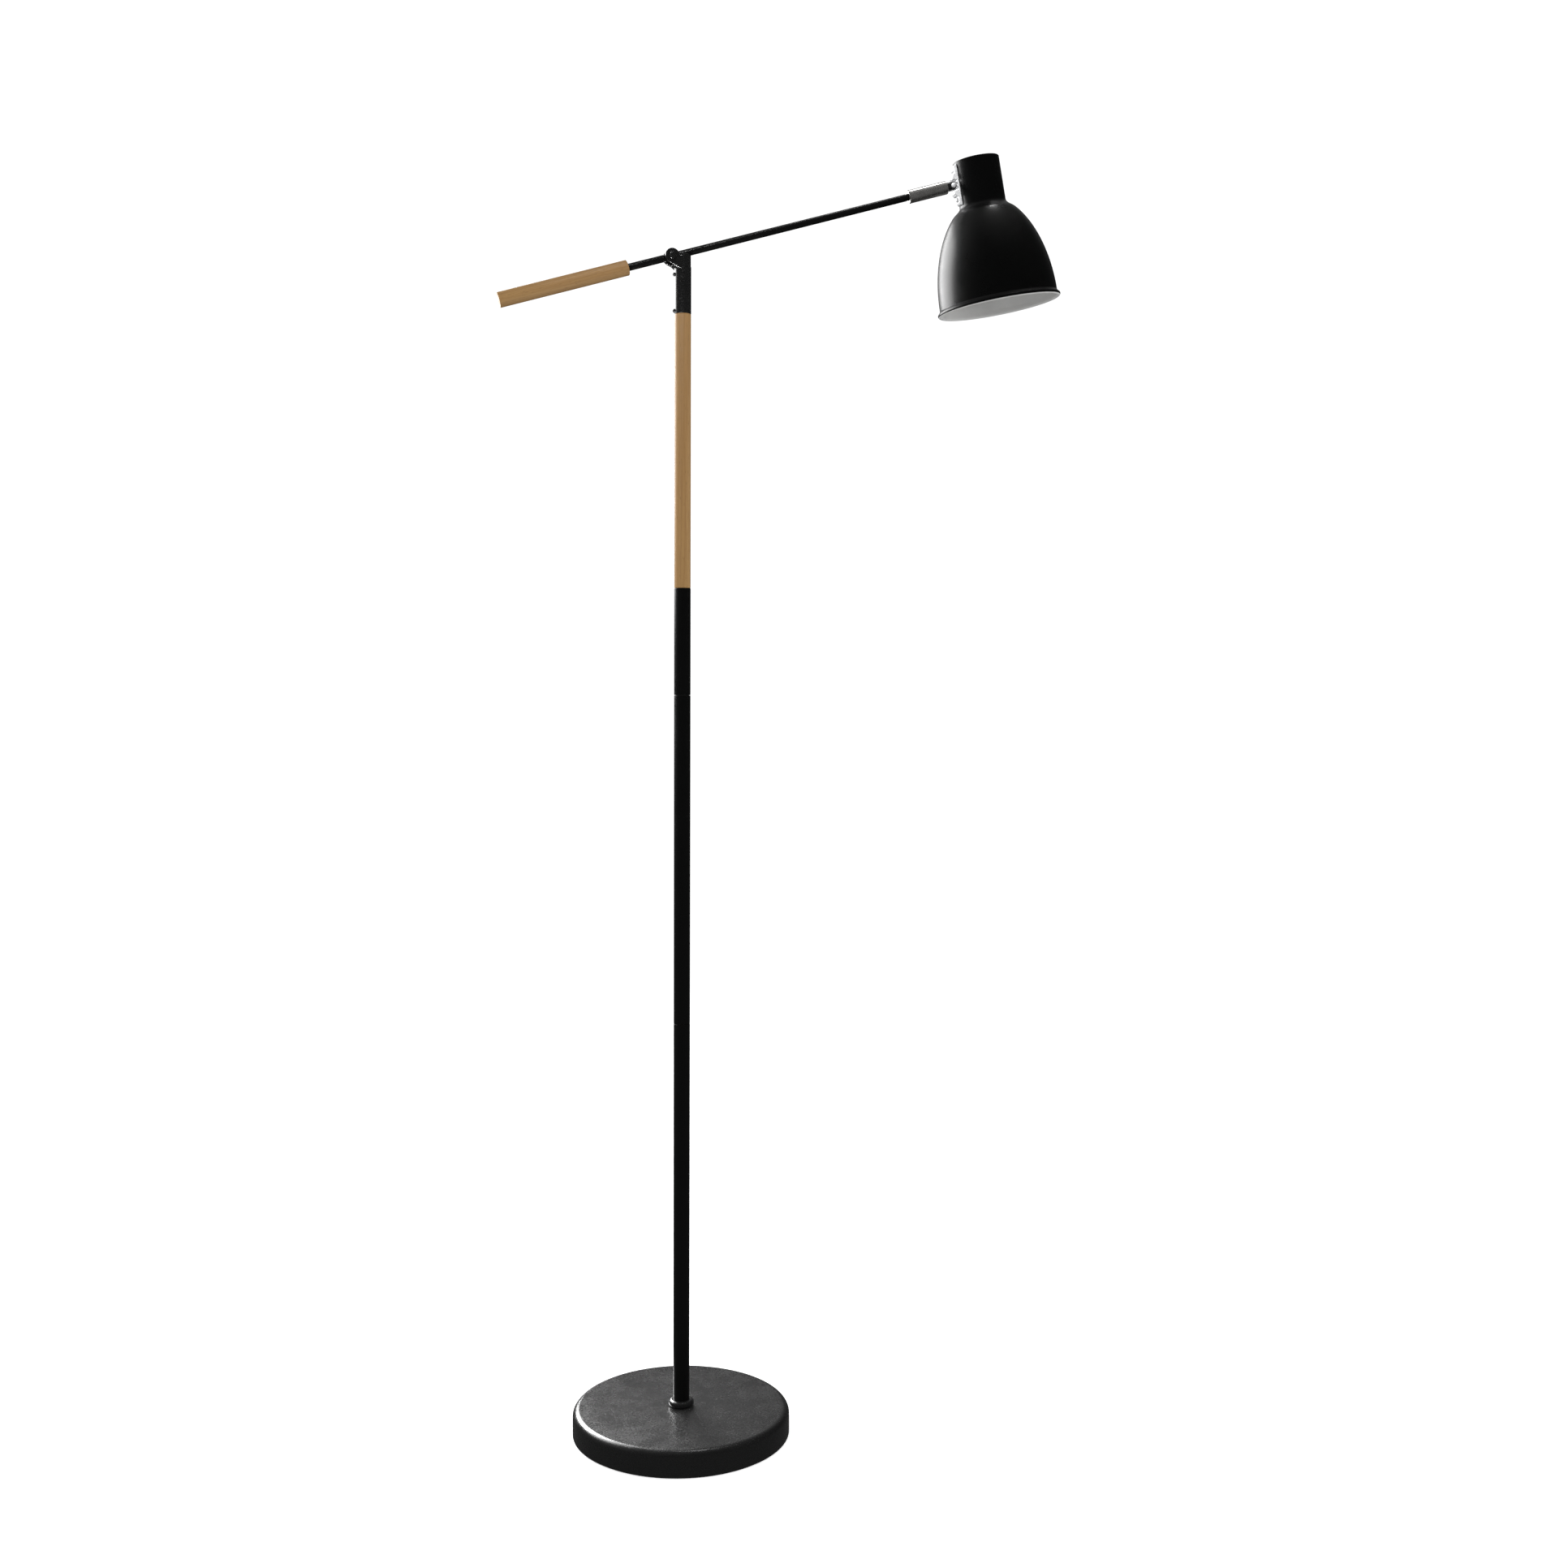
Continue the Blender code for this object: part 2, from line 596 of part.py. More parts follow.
def make_rods():
    rod = on_arm("arm_rod", tube(ROD_RADIUS, ROD_BORE, ROD_START, ROD_END, 16), "black_tube")
    entry = cylinder(1.8 * MM, -8 * MM, 0, 12)
    place = (SPIGOT_END + 3 * MM, 0, 0)
    combine(rod, add_cutter("lead_entry", entry, parent=ARM, place=place))
    shoulder = GRIP_NEAR - 11 * MM
    tip = shoulder - GRIP_SCREW_LENGTH
    blind = -SPIGOT_END - 1 * MM
    profile = [
        (0, blind),
        (ROD_BORE, blind),
        (ROD_BORE, -ROD_START),
        (ROD_RADIUS, -ROD_START),
        (ROD_RADIUS, shoulder),
        (GRIP_SCREW_RADIUS, shoulder),
        (GRIP_SCREW_RADIUS, tip),
        (0, tip),
    ]
    on_arm("rear_rod", solid(profile), "black_tube")


def make_counterweight():
    near = GRIP_NEAR
    far = GRIP_FAR
    blind = far + 12 * MM
    edge = 0.6 * MM
    profile = [
        (0, blind),
        (GRIP_BORE, blind),
        (GRIP_BORE, near),
        (GRIP_RADIUS - edge, near),
        (GRIP_RADIUS, near - edge),
        (GRIP_RADIUS, far + edge),
        (GRIP_RADIUS - edge, far),
        (0, far),
    ]
    on_arm("counterweight_wood", solid(profile, 24), "beech")
    bush = tube(GRIP_BORE - GAP, ROD_RADIUS + GAP, near - 9 * MM, near - 0.6 * MM, 16)
    on_arm("counterweight_bush", bush, "black_plastic")
    top = near - 11 * MM - GAP
    bore = GRIP_SCREW_RADIUS + GAP
    depth = top - GRIP_SCREW_LENGTH - 2 * MM
    core = [(0, depth), (bore, depth), (bore, top), (GRIP_BORE - GAP, top)]
    core += [(GRIP_BORE - GAP, blind + 1 * MM), (0, blind + 1 * MM)]
    on_arm("counterweight_core", solid(core, 16), "steel")


def make_swivel():
    """The sleeve on the rod's end, in which the fork's journal turns about the arm's line."""
    bore = ROD_RADIUS + GAP
    screw_hole = 2.3 * MM
    edge = 0.9 * MM
    profile = [
        (JOURNAL_BORE, SLEEVE_END),
        (SLEEVE_RADIUS - edge, SLEEVE_END),
        (SLEEVE_RADIUS - edge * 0.3, SLEEVE_END - edge * 0.3),
        (SLEEVE_RADIUS, SLEEVE_END - edge),
        (SLEEVE_RADIUS, SLEEVE_START + edge),
        (SLEEVE_RADIUS - edge * 0.3, SLEEVE_START + edge * 0.3),
        (SLEEVE_RADIUS - edge, SLEEVE_START),
        (bore, SLEEVE_START),
        (bore, WEB_START),
        (screw_hole, WEB_START),
        (screw_hole, WEB_END),
        (JOURNAL_BORE, WEB_END),
    ]
    on_arm("swivel_sleeve", ring(profile, 24), "nickel")
    seat = WEB_START - GAP
    tip = WEB_END + 15 * MM
    screw = [(0, seat - 2.2 * MM), (3.8 * MM, seat - 2.2 * MM), (3.8 * MM, seat), (1.9 * MM, seat)]
    screw += [(1.9 * MM, tip), (0, tip)]
    on_arm("swivel_screw", solid(screw, 16), "steel")

    start = WEB_END + GAP
    journal = JOURNAL_BORE - GAP
    dome = []
    for angle in (0, 30, 60, 90):
        turn = math.radians(angle)
        dome.append((FORK_RADIUS * math.cos(turn), KNUCKLE + FORK_RADIUS * math.sin(turn)))
    dome[-1] = (0, KNUCKLE + FORK_RADIUS)
    hole = screw_hole
    fork_profile = [(0, tip + 1 * MM), (hole, tip + 1 * MM), (hole, start), (journal, start)]
    fork_profile += [(journal, SLEEVE_END - GAP), (FORK_RADIUS, SLEEVE_END)] + dome
    fork = on_arm("swivel_fork", solid(fork_profile, 20), "black_paint")
    root = SLEEVE_END + 1.3 * MM
    slot = box((root, -FORK_SLOT_HALF, -PAST), (KNUCKLE + PAST, FORK_SLOT_HALF, PAST))
    combine(fork, add_cutter("fork_slot", slot, parent=ARM))
    for name, side in (("front", -1), ("rear", 1)):
        faces = sorted((side * FORK_FLAT, side * PAST))
        flat = box((root, faces[0], -PAST), (KNUCKLE + PAST, faces[1], PAST))
        combine(fork, add_cutter(f"fork_flat_{name}", flat, parent=ARM))
    hole = cylinder(KNUCKLE_HOLE, -PAST, PAST, 16)
    cut = add_cutter("knuckle_hole", hole, parent=ARM, place=(KNUCKLE, 0, 0), turn=TO_FRONT)
    combine(fork, cut)


# ------------------------------------------------------------------ head


def make_knuckle():
    """The tongue in the fork, with its shank through the shade's neck, and the screw that it tilts on."""
    seat = FORK_FLAT + GAP
    screw = domed(2.8 * MM, 1.7 * MM, KNUCKLE_SCREW_RADIUS, 2 * seat + 3 * MM, 16)
    add_part("knuckle_screw", screw, "chrome", parent=TILT, place=(0, -seat, 0), turn=TO_FRONT)
    add_nut("knuckle_nut", 5.5 * MM, KNUCKLE_HOLE, 2.4 * MM, TILT, (0, seat, 0), TO_REAR)

    tongue = cylinder(TONGUE_RADIUS, -TONGUE_HALF, TONGUE_HALF, 20)
    stem = add_part("head_stem", tongue, "chrome", parent=TILT, turn=TO_FRONT)
    shoulder = NECK_FROM_KNUCKLE - 1.8 * MM
    block = box((0, -TONGUE_HALF, -4.6 * MM), (shoulder, TONGUE_HALF, 4.6 * MM))
    combine(stem, add_cutter("tongue_block", block, parent=TILT), "UNION")
    tip = NECK_FROM_KNUCKLE + 9.2 * MM
    shank = cylinder(SHANK_RADIUS, shoulder - 0.5 * MM, tip, 16)
    combine(stem, add_cutter("stem_shank", shank, parent=TILT, turn=ALONG_X), "UNION")
    hole = cylinder(KNUCKLE_HOLE, -PAST, PAST, 16)
    combine(stem, add_cutter("tongue_hole", hole, parent=TILT, turn=TO_FRONT))


def make_bridge():
    """The bright bridge on the neck: two stepped lobes, each with a screw, and the stem between them."""
    back = NECK_FROM_KNUCKLE - GAP
    lobe = [  # millimetres off the neck, and from the stem's middle
        (1.3, 6.6),
        (6.6, 6.9),
        (7.2, 8.2),
        (6.9, 10.6),
        (5.2, 12.4),
        (3.2, 13.0),
        (3.2, 19.8),
        (2.4, 21.6),
        (1.2, 23.4),
    ]
    upper = [(back - height * MM, along * MM) for height, along in lobe]
    lower = [(x, -z) for x, z in reversed(upper)]
    outline = [(back, BRIDGE_END), (back, -BRIDGE_END)] + lower + upper
    strap = plate(outline, BRIDGE_HALF_WIDTH)
    bridge = add_part("bridge_plate", strap, "chrome", parent=TILT, turn=TO_FRONT)
    hole = cylinder(SHANK_HOLE, 0, 30 * MM, 16)
    combine(bridge, add_cutter("bridge_hole", hole, parent=TILT, turn=ALONG_X))
    seat = back - LOBE_SEAT - GAP
    for name, side in (("upper", 1), ("lower", -1)):
        place = (seat, 0, side * BRIDGE_SCREW_OFFSET)
        hole = cylinder(NECK_SCREW_HOLE, 0, 30 * MM, 16)
        cut = add_cutter(f"bridge_screw_hole_{name}", hole, parent=TILT, place=place, turn=ALONG_X)
        combine(bridge, cut)
        screw = domed(2.9 * MM, 2.6 * MM, NECK_SCREW_RADIUS, 9 * MM, 16)
        turn = (0, -math.pi / 2, 0)
        add_part(f"bridge_screw_{name}", screw, "chrome", parent=TILT, place=place, turn=turn)
    inside = NECK_FROM_KNUCKLE + NECK_RADIUS - BRACKET_BACK + BRACKET_SHEET + GAP
    add_nut("stem_nut", 10 * MM, SHANK_HOLE, 4 * MM, TILT, (inside, 0, 0), ALONG_X)


def bell_radius(depth):
    """Radius of the bell's outside, a quarter ellipse whose widest place is above the rim."""
    part = (BELL_BOTTOM - depth) / BELL_LENGTH
    return BELL_RADIUS * math.sqrt(1 - part * part)


def shade_profile():
    shoulder = [(NECK_RADIUS + 0.4 * MM, 53.5 * MM), (NECK_RADIUS + 3.2 * MM, 57 * MM)]
    depths = (62, 69, 78, 90, 104, 120, 140, 163)  # millimetres, closer where the bell bends most
    edge = 1.2 * MM
    outer = [(NECK_RADIUS - edge, 0), (NECK_RADIUS, edge), (NECK_RADIUS, NECK_DEPTH)] + shoulder
    outer += [(bell_radius(depth * MM), depth * MM) for depth in depths]
    bead = arc((RIM_RADIUS - BEAD_RADIUS, BEAD_DEPTH), BEAD_RADIUS, -60, 180, 6)
    inner = []
    for radius, depth in reversed(outer[1:]):
        inner.append((radius - SHADE_WALL, max(depth, SHADE_WALL)))
    inner[-1] = (NECK_RADIUS - SHADE_WALL, SHADE_WALL)
    loop = [(VENT_RADIUS, 0)] + outer + bead + inner + [(VENT_RADIUS, SHADE_WALL)]
    return [(radius, -depth) for radius, depth in loop]


def make_shade():
    shade = add_part("shade", ring(shade_profile(), 48), "shade_black", parent=HEAD)
    holes = {"stem": (0, SHANK_HOLE), "upper": (1, 1.8 * MM), "lower": (-1, 1.8 * MM)}
    for name, (side, radius) in holes.items():
        place = (NECK_FROM_KNUCKLE - 3 * MM, 0, side * BRIDGE_SCREW_OFFSET)
        hole = cylinder(radius, 0, 12 * MM, 12)
        combine(shade, add_cutter(f"neck_hole_{name}", hole, parent=TILT, place=place, turn=ALONG_X))


def make_holder_bracket():
    """The angle bracket inside the neck: the screws clamp its leg, and its shelf carries the lampholder."""
    back = -BRACKET_BACK
    face = back + BRACKET_SHEET
    top = -5 * MM
    under = -BRACKET_SHELF - BRACKET_SHEET
    end = 10 * MM
    leg = [(back, under), (back, top), (face, top), (face, -BRACKET_SHELF)]
    shelf = [(end, -BRACKET_SHELF), (end, under)]
    angle = plate(leg + shelf, BRACKET_HALF_WIDTH)
    bracket = add_part("holder_bracket", angle, "steel", parent=HEAD, turn=TO_FRONT)
    hole = cylinder(NIPPLE_HOLE, -60 * MM, -40 * MM)
    combine(bracket, add_cutter("shelf_hole", hole, parent=HEAD))
    holes = {"stem": (0, SHANK_HOLE), "upper": (1, NECK_SCREW_HOLE), "lower": (-1, NECK_SCREW_HOLE)}
    for name, (side, radius) in holes.items():
        place = (NECK_FROM_KNUCKLE, 0, side * BRIDGE_SCREW_OFFSET)
        hole = cylinder(radius, 0, 10 * MM, 16)
        cut = add_cutter(f"leg_hole_{name}", hole, parent=TILT, place=place, turn=ALONG_X)
        combine(bracket, cut)


def make_lampholder():
    shelf_under = -BRACKET_SHELF - BRACKET_SHEET
    nipple = tube(NIPPLE_RADIUS, NIPPLE_BORE, shelf_under - 11 * MM, -BRACKET_SHELF + 6.5 * MM, 16)
    add_part("holder_nipple", nipple, "steel", parent=HEAD)
    add_nut("holder_nut", 14 * MM, NIPPLE_HOLE, 4 * MM, HEAD, (0, 0, -BRACKET_SHELF + GAP))

    top = shelf_under - GAP
    mouth = -HOLDER_MOUTH
    body = [
        (NIPPLE_HOLE, top),
        (13 * MM, top),
        (HOLDER_RADIUS, top - 8 * MM),
        (HOLDER_RADIUS, mouth),
        (HOLDER_BORE, mouth),
        (HOLDER_BORE, top - 9.5 * MM),
        (12 * MM, top - 3 * MM),
        (NIPPLE_HOLE, top - 3 * MM),
    ]
    add_part("lampholder_body", ring(body, 24), "black_plastic", parent=HEAD)
    collar = tube(21.5 * MM, HOLDER_RADIUS + GAP, mouth + 4 * MM, mouth + 10 * MM, 24)
    add_part("lampholder_ring", collar, "black_plastic", parent=HEAD)
    insulator = cylinder(HOLDER_BORE - GAP, -68 * MM, -62 * MM, 20)
    add_part("lampholder_insulator", insulator, "white_ceramic", parent=HEAD)
    shell = tube(14.4 * MM, 13.5 * MM, -SHELL_MOUTH, -SHELL_TOP)
    add_part("lampholder_shell", shell, "brass", parent=HEAD)
    disc = 5 * MM
    tip = 2.5 * MM
    flat = -SHELL_TOP - 1 * MM
    lowest = -SHELL_TOP - 3.2 * MM
    contact = [(0, -SHELL_TOP), (disc, -SHELL_TOP), (disc, flat), (tip, lowest), (0, lowest)]
    add_part("centre_contact", solid(contact, 12), "brass", parent=HEAD)


clear_scene()
PARTS = new_collection("adjustable_arm_floor_lamp")
CUTTERS = new_collection("lamp_cutters", hidden=True)

ARM = make_empty("arm_pivot", PIVOT, (0, -ARM_TILT, 0))
ALONG = (math.cos(ARM_TILT), math.sin(ARM_TILT))
KNUCKLE_PLACE = (PIVOT[0] + KNUCKLE * ALONG[0], 0, PIVOT[2] + KNUCKLE * ALONG[1])
TILT = make_empty("head_pivot", KNUCKLE_PLACE, (0, -HEAD_TILT, 0))
HEAD = make_empty("shade_axis", HEAD_TOP, (0, -HEAD_TILT, 0))
# Distance from the knuckle to the outside of the neck, along the neck's radius.
NECK_FROM_KNUCKLE = (
    (HEAD_TOP[0] - KNUCKLE_PLACE[0]) * math.cos(HEAD_TILT)
    + (HEAD_TOP[2] - KNUCKLE_PLACE[2]) * math.sin(HEAD_TILT)
    - NECK_RADIUS
)

make_base_cover()
make_base_weight()
make_base_fixings()
make_cord_grommet()
make_collar()
make_pole_tubes()
make_wood_pole()
make_top_fitting()
make_set_screws()
make_pivot_fixings()
make_arm_hub()
make_rods()
make_counterweight()
make_swivel()
make_knuckle()
make_bridge()
make_shade()
make_holder_bracket()
make_lampholder()
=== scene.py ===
"""Looks of the adjustable arm floor lamp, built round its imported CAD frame. Lengths are metres.

Turned pieces are built about their own Z axis and then placed: most of the stand's stay on the world's Z
axis, the arm's lie on the rods' common line, and the head's hang from the top of the shade's neck.
"""

import json
import math

import bmesh
import bpy
from mathutils import Euler, Matrix, Vector


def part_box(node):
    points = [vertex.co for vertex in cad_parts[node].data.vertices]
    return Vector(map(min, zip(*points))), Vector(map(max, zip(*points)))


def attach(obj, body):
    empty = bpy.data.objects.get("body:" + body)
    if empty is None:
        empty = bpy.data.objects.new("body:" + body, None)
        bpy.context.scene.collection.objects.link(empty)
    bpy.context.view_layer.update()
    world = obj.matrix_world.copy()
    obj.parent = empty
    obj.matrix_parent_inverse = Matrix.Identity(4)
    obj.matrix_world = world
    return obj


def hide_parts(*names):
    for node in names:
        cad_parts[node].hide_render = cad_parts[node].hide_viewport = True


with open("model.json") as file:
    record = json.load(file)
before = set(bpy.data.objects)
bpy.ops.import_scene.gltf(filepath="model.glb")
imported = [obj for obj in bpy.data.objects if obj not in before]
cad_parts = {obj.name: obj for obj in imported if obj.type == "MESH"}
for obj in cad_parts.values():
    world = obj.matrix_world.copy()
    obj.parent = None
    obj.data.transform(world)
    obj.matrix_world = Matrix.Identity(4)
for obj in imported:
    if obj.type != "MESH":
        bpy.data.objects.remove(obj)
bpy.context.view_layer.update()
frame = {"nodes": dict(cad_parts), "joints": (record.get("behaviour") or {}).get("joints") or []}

MM = 0.001
FRONT = Vector((0, -1, 0))
REAR = Vector((0, 1, 0))
UP = Vector((0, 0, 1))

# ---------- places, from the frame


def joint_named(name):
    return next(joint for joint in frame["joints"] if joint["name"] == name)


def axes(origin, z_axis, y_axis=REAR):
    """The placing of a piece whose own Z and Y axes point as given."""
    z = Vector(z_axis).normalized()
    x = Vector(y_axis).cross(z).normalized()
    matrix = Matrix((x, z.cross(x), z)).transposed().to_4x4()
    matrix.translation = origin
    return matrix


STAND = Matrix.Identity(4)
PIVOT = Vector(joint_named("arm_tilt")["pos_m"])
KNUCKLE = Vector(joint_named("head_tilt")["pos_m"])
ARM_LINE = Vector(joint_named("head_turn")["axis"]).normalized()
KNUCKLE_REACH = (KNUCKLE - PIVOT).length
ARM = axes(PIVOT, ARM_LINE)  # Z runs along the rods from the pivot and X points down

HEAD_TILT = math.radians(10.75)
NECK_UP = Vector((-math.sin(HEAD_TILT), 0, math.cos(HEAD_TILT)))
NECK_OUT = Vector((math.cos(HEAD_TILT), 0, math.sin(HEAD_TILT)))
NECK_ABOVE_KNUCKLE = 26.33 * MM  # from the knuckle up to the neck's top, along the neck
NECK_GAP = 7.257 * MM  # from the knuckle to the outside of the neck
NECK_RADIUS = 27 * MM
HEAD_TOP = KNUCKLE + NECK_OUT * (NECK_GAP + NECK_RADIUS) + NECK_UP * NECK_ABOVE_KNUCKLE
HEAD = axes(HEAD_TOP, NECK_UP)
BRIDGE = axes(KNUCKLE, -NECK_OUT)  # Z points away from the neck and X up along it

POLE_RADIUS = (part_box("lower_tube")[1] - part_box("lower_tube")[0]).x / 2
GAP = 0.3 * MM  # clearance between neighbouring pieces
PAST = 20 * MM  # how far a cutter reaches past the piece that it cuts

# Radii of holes that several pieces share
NIPPLE_HOLE = 5.35 * MM
SHANK_HOLE = 3.3 * MM
BOLT_HOLE = 2.6 * MM
KNUCKLE_HOLE = 1.65 * MM
SET_SCREW_HOLE = 1.8 * MM
SHADE_SCREW_HOLE = 1.8 * MM
BRACKET_SCREW_HOLE = 1.7 * MM

# Turns that point a mesh's Z axis along its parent's -Y, +Y and +X axis
TO_FRONT = (math.pi / 2, 0, 0)
TO_REAR = (-math.pi / 2, 0, 0)
TO_SIDE = (0, math.pi / 2, 0)

# ---------- outlines

MOST_OF_SIDE = 0.49  # the share of a side that one rounded corner may take


def rounded(corners, segments=8):
    """An outline with its corners (x, y, radius) rounded by arcs. A corner with no radius stays sharp."""
    points = []
    for i, corner in enumerate(corners):
        here = Vector(corner[:2])
        radius = corner[2] if len(corner) > 2 else 0
        before = Vector(corners[i - 1][:2]) - here
        after = Vector(corners[(i + 1) % len(corners)][:2]) - here
        longest = MOST_OF_SIDE * min(before.length, after.length)
        if radius == 0 or longest == 0:
            points.append(tuple(here))
            continue
        before.normalize()
        after.normalize()
        half = before.angle(after) / 2
        reach = min(radius / math.tan(half), longest)
        radius = reach * math.tan(half)
        centre = here + (before + after).normalized() * (radius / math.sin(half))
        start = here + before * reach - centre
        end = here + after * reach - centre
        sweep = math.atan2(start.x * end.y - start.y * end.x, start.dot(end))
        for step in range(segments + 1):
            turn = sweep * step / segments
            cosine = math.cos(turn)
            sine = math.sin(turn)
            spoke = Vector((start.x * cosine - start.y * sine, start.x * sine + start.y * cosine))
            points.append(tuple(centre + spoke))
    return points


def bezier(start, start_pull, end_pull, end, count):
    """Points of a cubic curve, both ends included."""
    points = []
    for i in range(count + 1):
        t = i / count
        s = 1 - t
        weights = (s * s * s, 3 * s * s * t, 3 * s * t * t, t * t * t)
        places = zip(weights, (start, start_pull, end_pull, end))
        points.append(tuple(sum((Vector(place) * weight for weight, place in places), Vector((0, 0)))))
    return points


def arc(centre, radius, start, end, count):
    """Points of a round stretch of outline, from one angle in degrees to another."""
    points = []
    for i in range(count + 1):
        angle = math.radians(start + (end - start) * i / count)
        points.append((centre[0] + radius * math.cos(angle), centre[1] + radius * math.sin(angle)))
    return points


def dome(radius, height, base=0.0, count=10):
    """Outline of a domed head from its top on the axis down to its rim."""
    points = []
    for i in range(count + 1):
        angle = math.radians(90 - 90 * i / count)
        points.append((radius * math.cos(angle), base + height * math.sin(angle)))
    points[0] = (0, base + height)
    return points


# ---------- meshes

SAME_PLACE = 0.001 * MM  # points closer than this are one point


def finished(mesh, sharp=32):
    """Smooth shading with crisp edges, and faces that look outwards."""
    shape = bmesh.new()
    shape.from_mesh(mesh)
    bmesh.ops.remove_doubles(shape, verts=shape.verts, dist=SAME_PLACE)
    bmesh.ops.recalc_face_normals(shape, faces=shape.faces)
    shape.to_mesh(mesh)
    shape.free()
    mesh.shade_smooth()
    mesh.set_sharp_from_angle(angle=math.radians(sharp))
    return mesh


def turned(outline, steps=96, closed=False, painted=None):
    """The mesh of (radius, height) points turned about Z.

    A closed outline makes a ring. `painted` says which material slot a stretch of outline takes.
    """
    vertices = []
    rings = []
    for radius, height in outline:
        if radius < SAME_PLACE:
            rings.append([len(vertices)] * steps)
            vertices.append((0, 0, height))
            continue
        rings.append(list(range(len(vertices), len(vertices) + steps)))
        for step in range(steps):
            angle = math.tau * step / steps
            vertices.append((radius * math.cos(angle), radius * math.sin(angle), height))
    faces = []
    slots = []
    count = len(rings)
    for i in range(count if closed else count - 1):
        upper = rings[i]
        lower = rings[(i + 1) % count]
        for step in range(steps):
            following = (step + 1) % steps
            face = [upper[step], lower[step], lower[following], upper[following]]
            face = list(dict.fromkeys(face))
            if len(face) > 2:
                faces.append(face)
                slots.append(painted(i) if painted else 0)
    mesh = bpy.data.meshes.new("turned")
    mesh.from_pydata(vertices, [], faces)
    mesh.polygons.foreach_set("material_index", slots)
    return finished(mesh)


def tube_outline(radius, bore, low, high, edge):
    """Closed outline of a tube with eased outer edges."""
    return rounded([(bore, high), (radius, high, edge), (radius, low, edge), (bore, low)], 5)


def plate(outline, half_thickness):
    """A flat outline in X and Z, thickened both ways along Y."""
    curve = bpy.data.curves.new("outline", "CURVE")
    curve.dimensions = "2D"
    curve.fill_mode = "BOTH"
    curve.extrude = half_thickness
    spline = curve.splines.new("POLY")
    spline.points.add(len(outline) - 1)
    for point, (x, z) in zip(spline.points, outline):
        point.co = (x, z, 0, 1)
    spline.use_cyclic_u = True
    guide = bpy.data.objects.new("guide", curve)
    mesh = as_mesh(guide)
    mesh.transform(Matrix.Rotation(math.pi / 2, 4, "X"))
    return finished(mesh)


def block(low, high):
    """A box between two corners, used as a cutter or as a stretch of a fused piece."""
    shape = bmesh.new()
    bmesh.ops.create_cube(shape, size=1)
    for vertex in shape.verts:
        for axis in range(3):
            vertex.co[axis] = high[axis] if vertex.co[axis] > 0 else low[axis]
    mesh = bpy.data.meshes.new("block")
    shape.to_mesh(mesh)
    shape.free()
    return mesh


def rod(radius, low, high, steps=48):
    return turned([(0, high), (radius, high), (radius, low), (0, low)], steps)


def moved(mesh, place=(0, 0, 0), turn=(0, 0, 0)):
    mesh.transform(Matrix.Translation(place) @ Euler(turn).to_matrix().to_4x4())
    return mesh


def as_mesh(guide):
    """The evaluated mesh of an object that isn't kept."""
    bpy.context.scene.collection.objects.link(guide)
    bpy.context.view_layer.update()
    graph = bpy.context.evaluated_depsgraph_get()
    mesh = bpy.data.meshes.new_from_object(guide.evaluated_get(graph))
    bpy.data.objects.remove(guide, do_unlink=True)
    return mesh


def combined(mesh, joined=(), cut=(), common=()):
    """The mesh after its unions, cuts and intersections with other meshes."""
    guide = bpy.data.objects.new("guide", mesh)
    helpers = []
    for operation, others in (("UNION", joined), ("DIFFERENCE", cut), ("INTERSECT", common)):
        for other in others:
            helper = bpy.data.objects.new("helper", other)
            bpy.context.scene.collection.objects.link(helper)
            helpers.append(helper)
            modifier = guide.modifiers.new(operation, "BOOLEAN")
            modifier.operation = operation
            modifier.solver = "MANIFOLD"
            modifier.object = helper
    mesh = as_mesh(guide)
    for helper in helpers:
        bpy.data.objects.remove(helper, do_unlink=True)
    return finished(mesh)


def bevelled(mesh, width, segments=3):
    """The mesh with its edges bevelled where faces meet at 40 degrees or more."""
    guide = bpy.data.objects.new("guide", mesh)
    bevel = guide.modifiers.new("soft_edges", "BEVEL")
    bevel.width = width
    bevel.segments = segments
    bevel.limit_method = "ANGLE"
    bevel.angle_limit = math.radians(40)
    return finished(as_mesh(guide))


def cast(mesh, voxel, passes):
    """The mesh with every edge and inner corner softened, as on a die casting."""
    guide = bpy.data.objects.new("guide", mesh)
    remesh = guide.modifiers.new("even", "REMESH")
    remesh.mode = "VOXEL"
    remesh.voxel_size = voxel
    smooth = guide.modifiers.new("soft", "SMOOTH")
    smooth.factor = 0.5
    smooth.iterations = passes
    mesh = as_mesh(guide)
    mesh.shade_smooth()
    return mesh


# ---------- materials

NOISE = (0.3, 0.7)  # nearly all values of a noise texture lie between these
MIDDLE_NOISE = (0.35, 0.65)


def grey(level):
    return (level, level, level)


class Nodes:
    """Short calls for making and linking the nodes of one tree."""

    def __init__(self, tree):
        self.tree = tree

    def node(self, kind, inputs, **settings):
        """A new node with its settings, and its inputs linked to sockets or set to values."""
        made = self.tree.nodes.new(kind)
        for setting, value in settings.items():
            setattr(made, setting, value)
        for socket, value in inputs.items():
            if isinstance(value, bpy.types.NodeSocket):
                self.tree.links.new(value, made.inputs[socket])
            else:
                made.inputs[socket].default_value = value
        return made

    def spread(self, value, low, high, to_low, to_high, shape="LINEAR"):
        inputs = {"Value": value, "From Min": low, "From Max": high, "To Min": to_low, "To Max": to_high}
        return self.node("ShaderNodeMapRange", inputs, interpolation_type=shape).outputs["Result"]


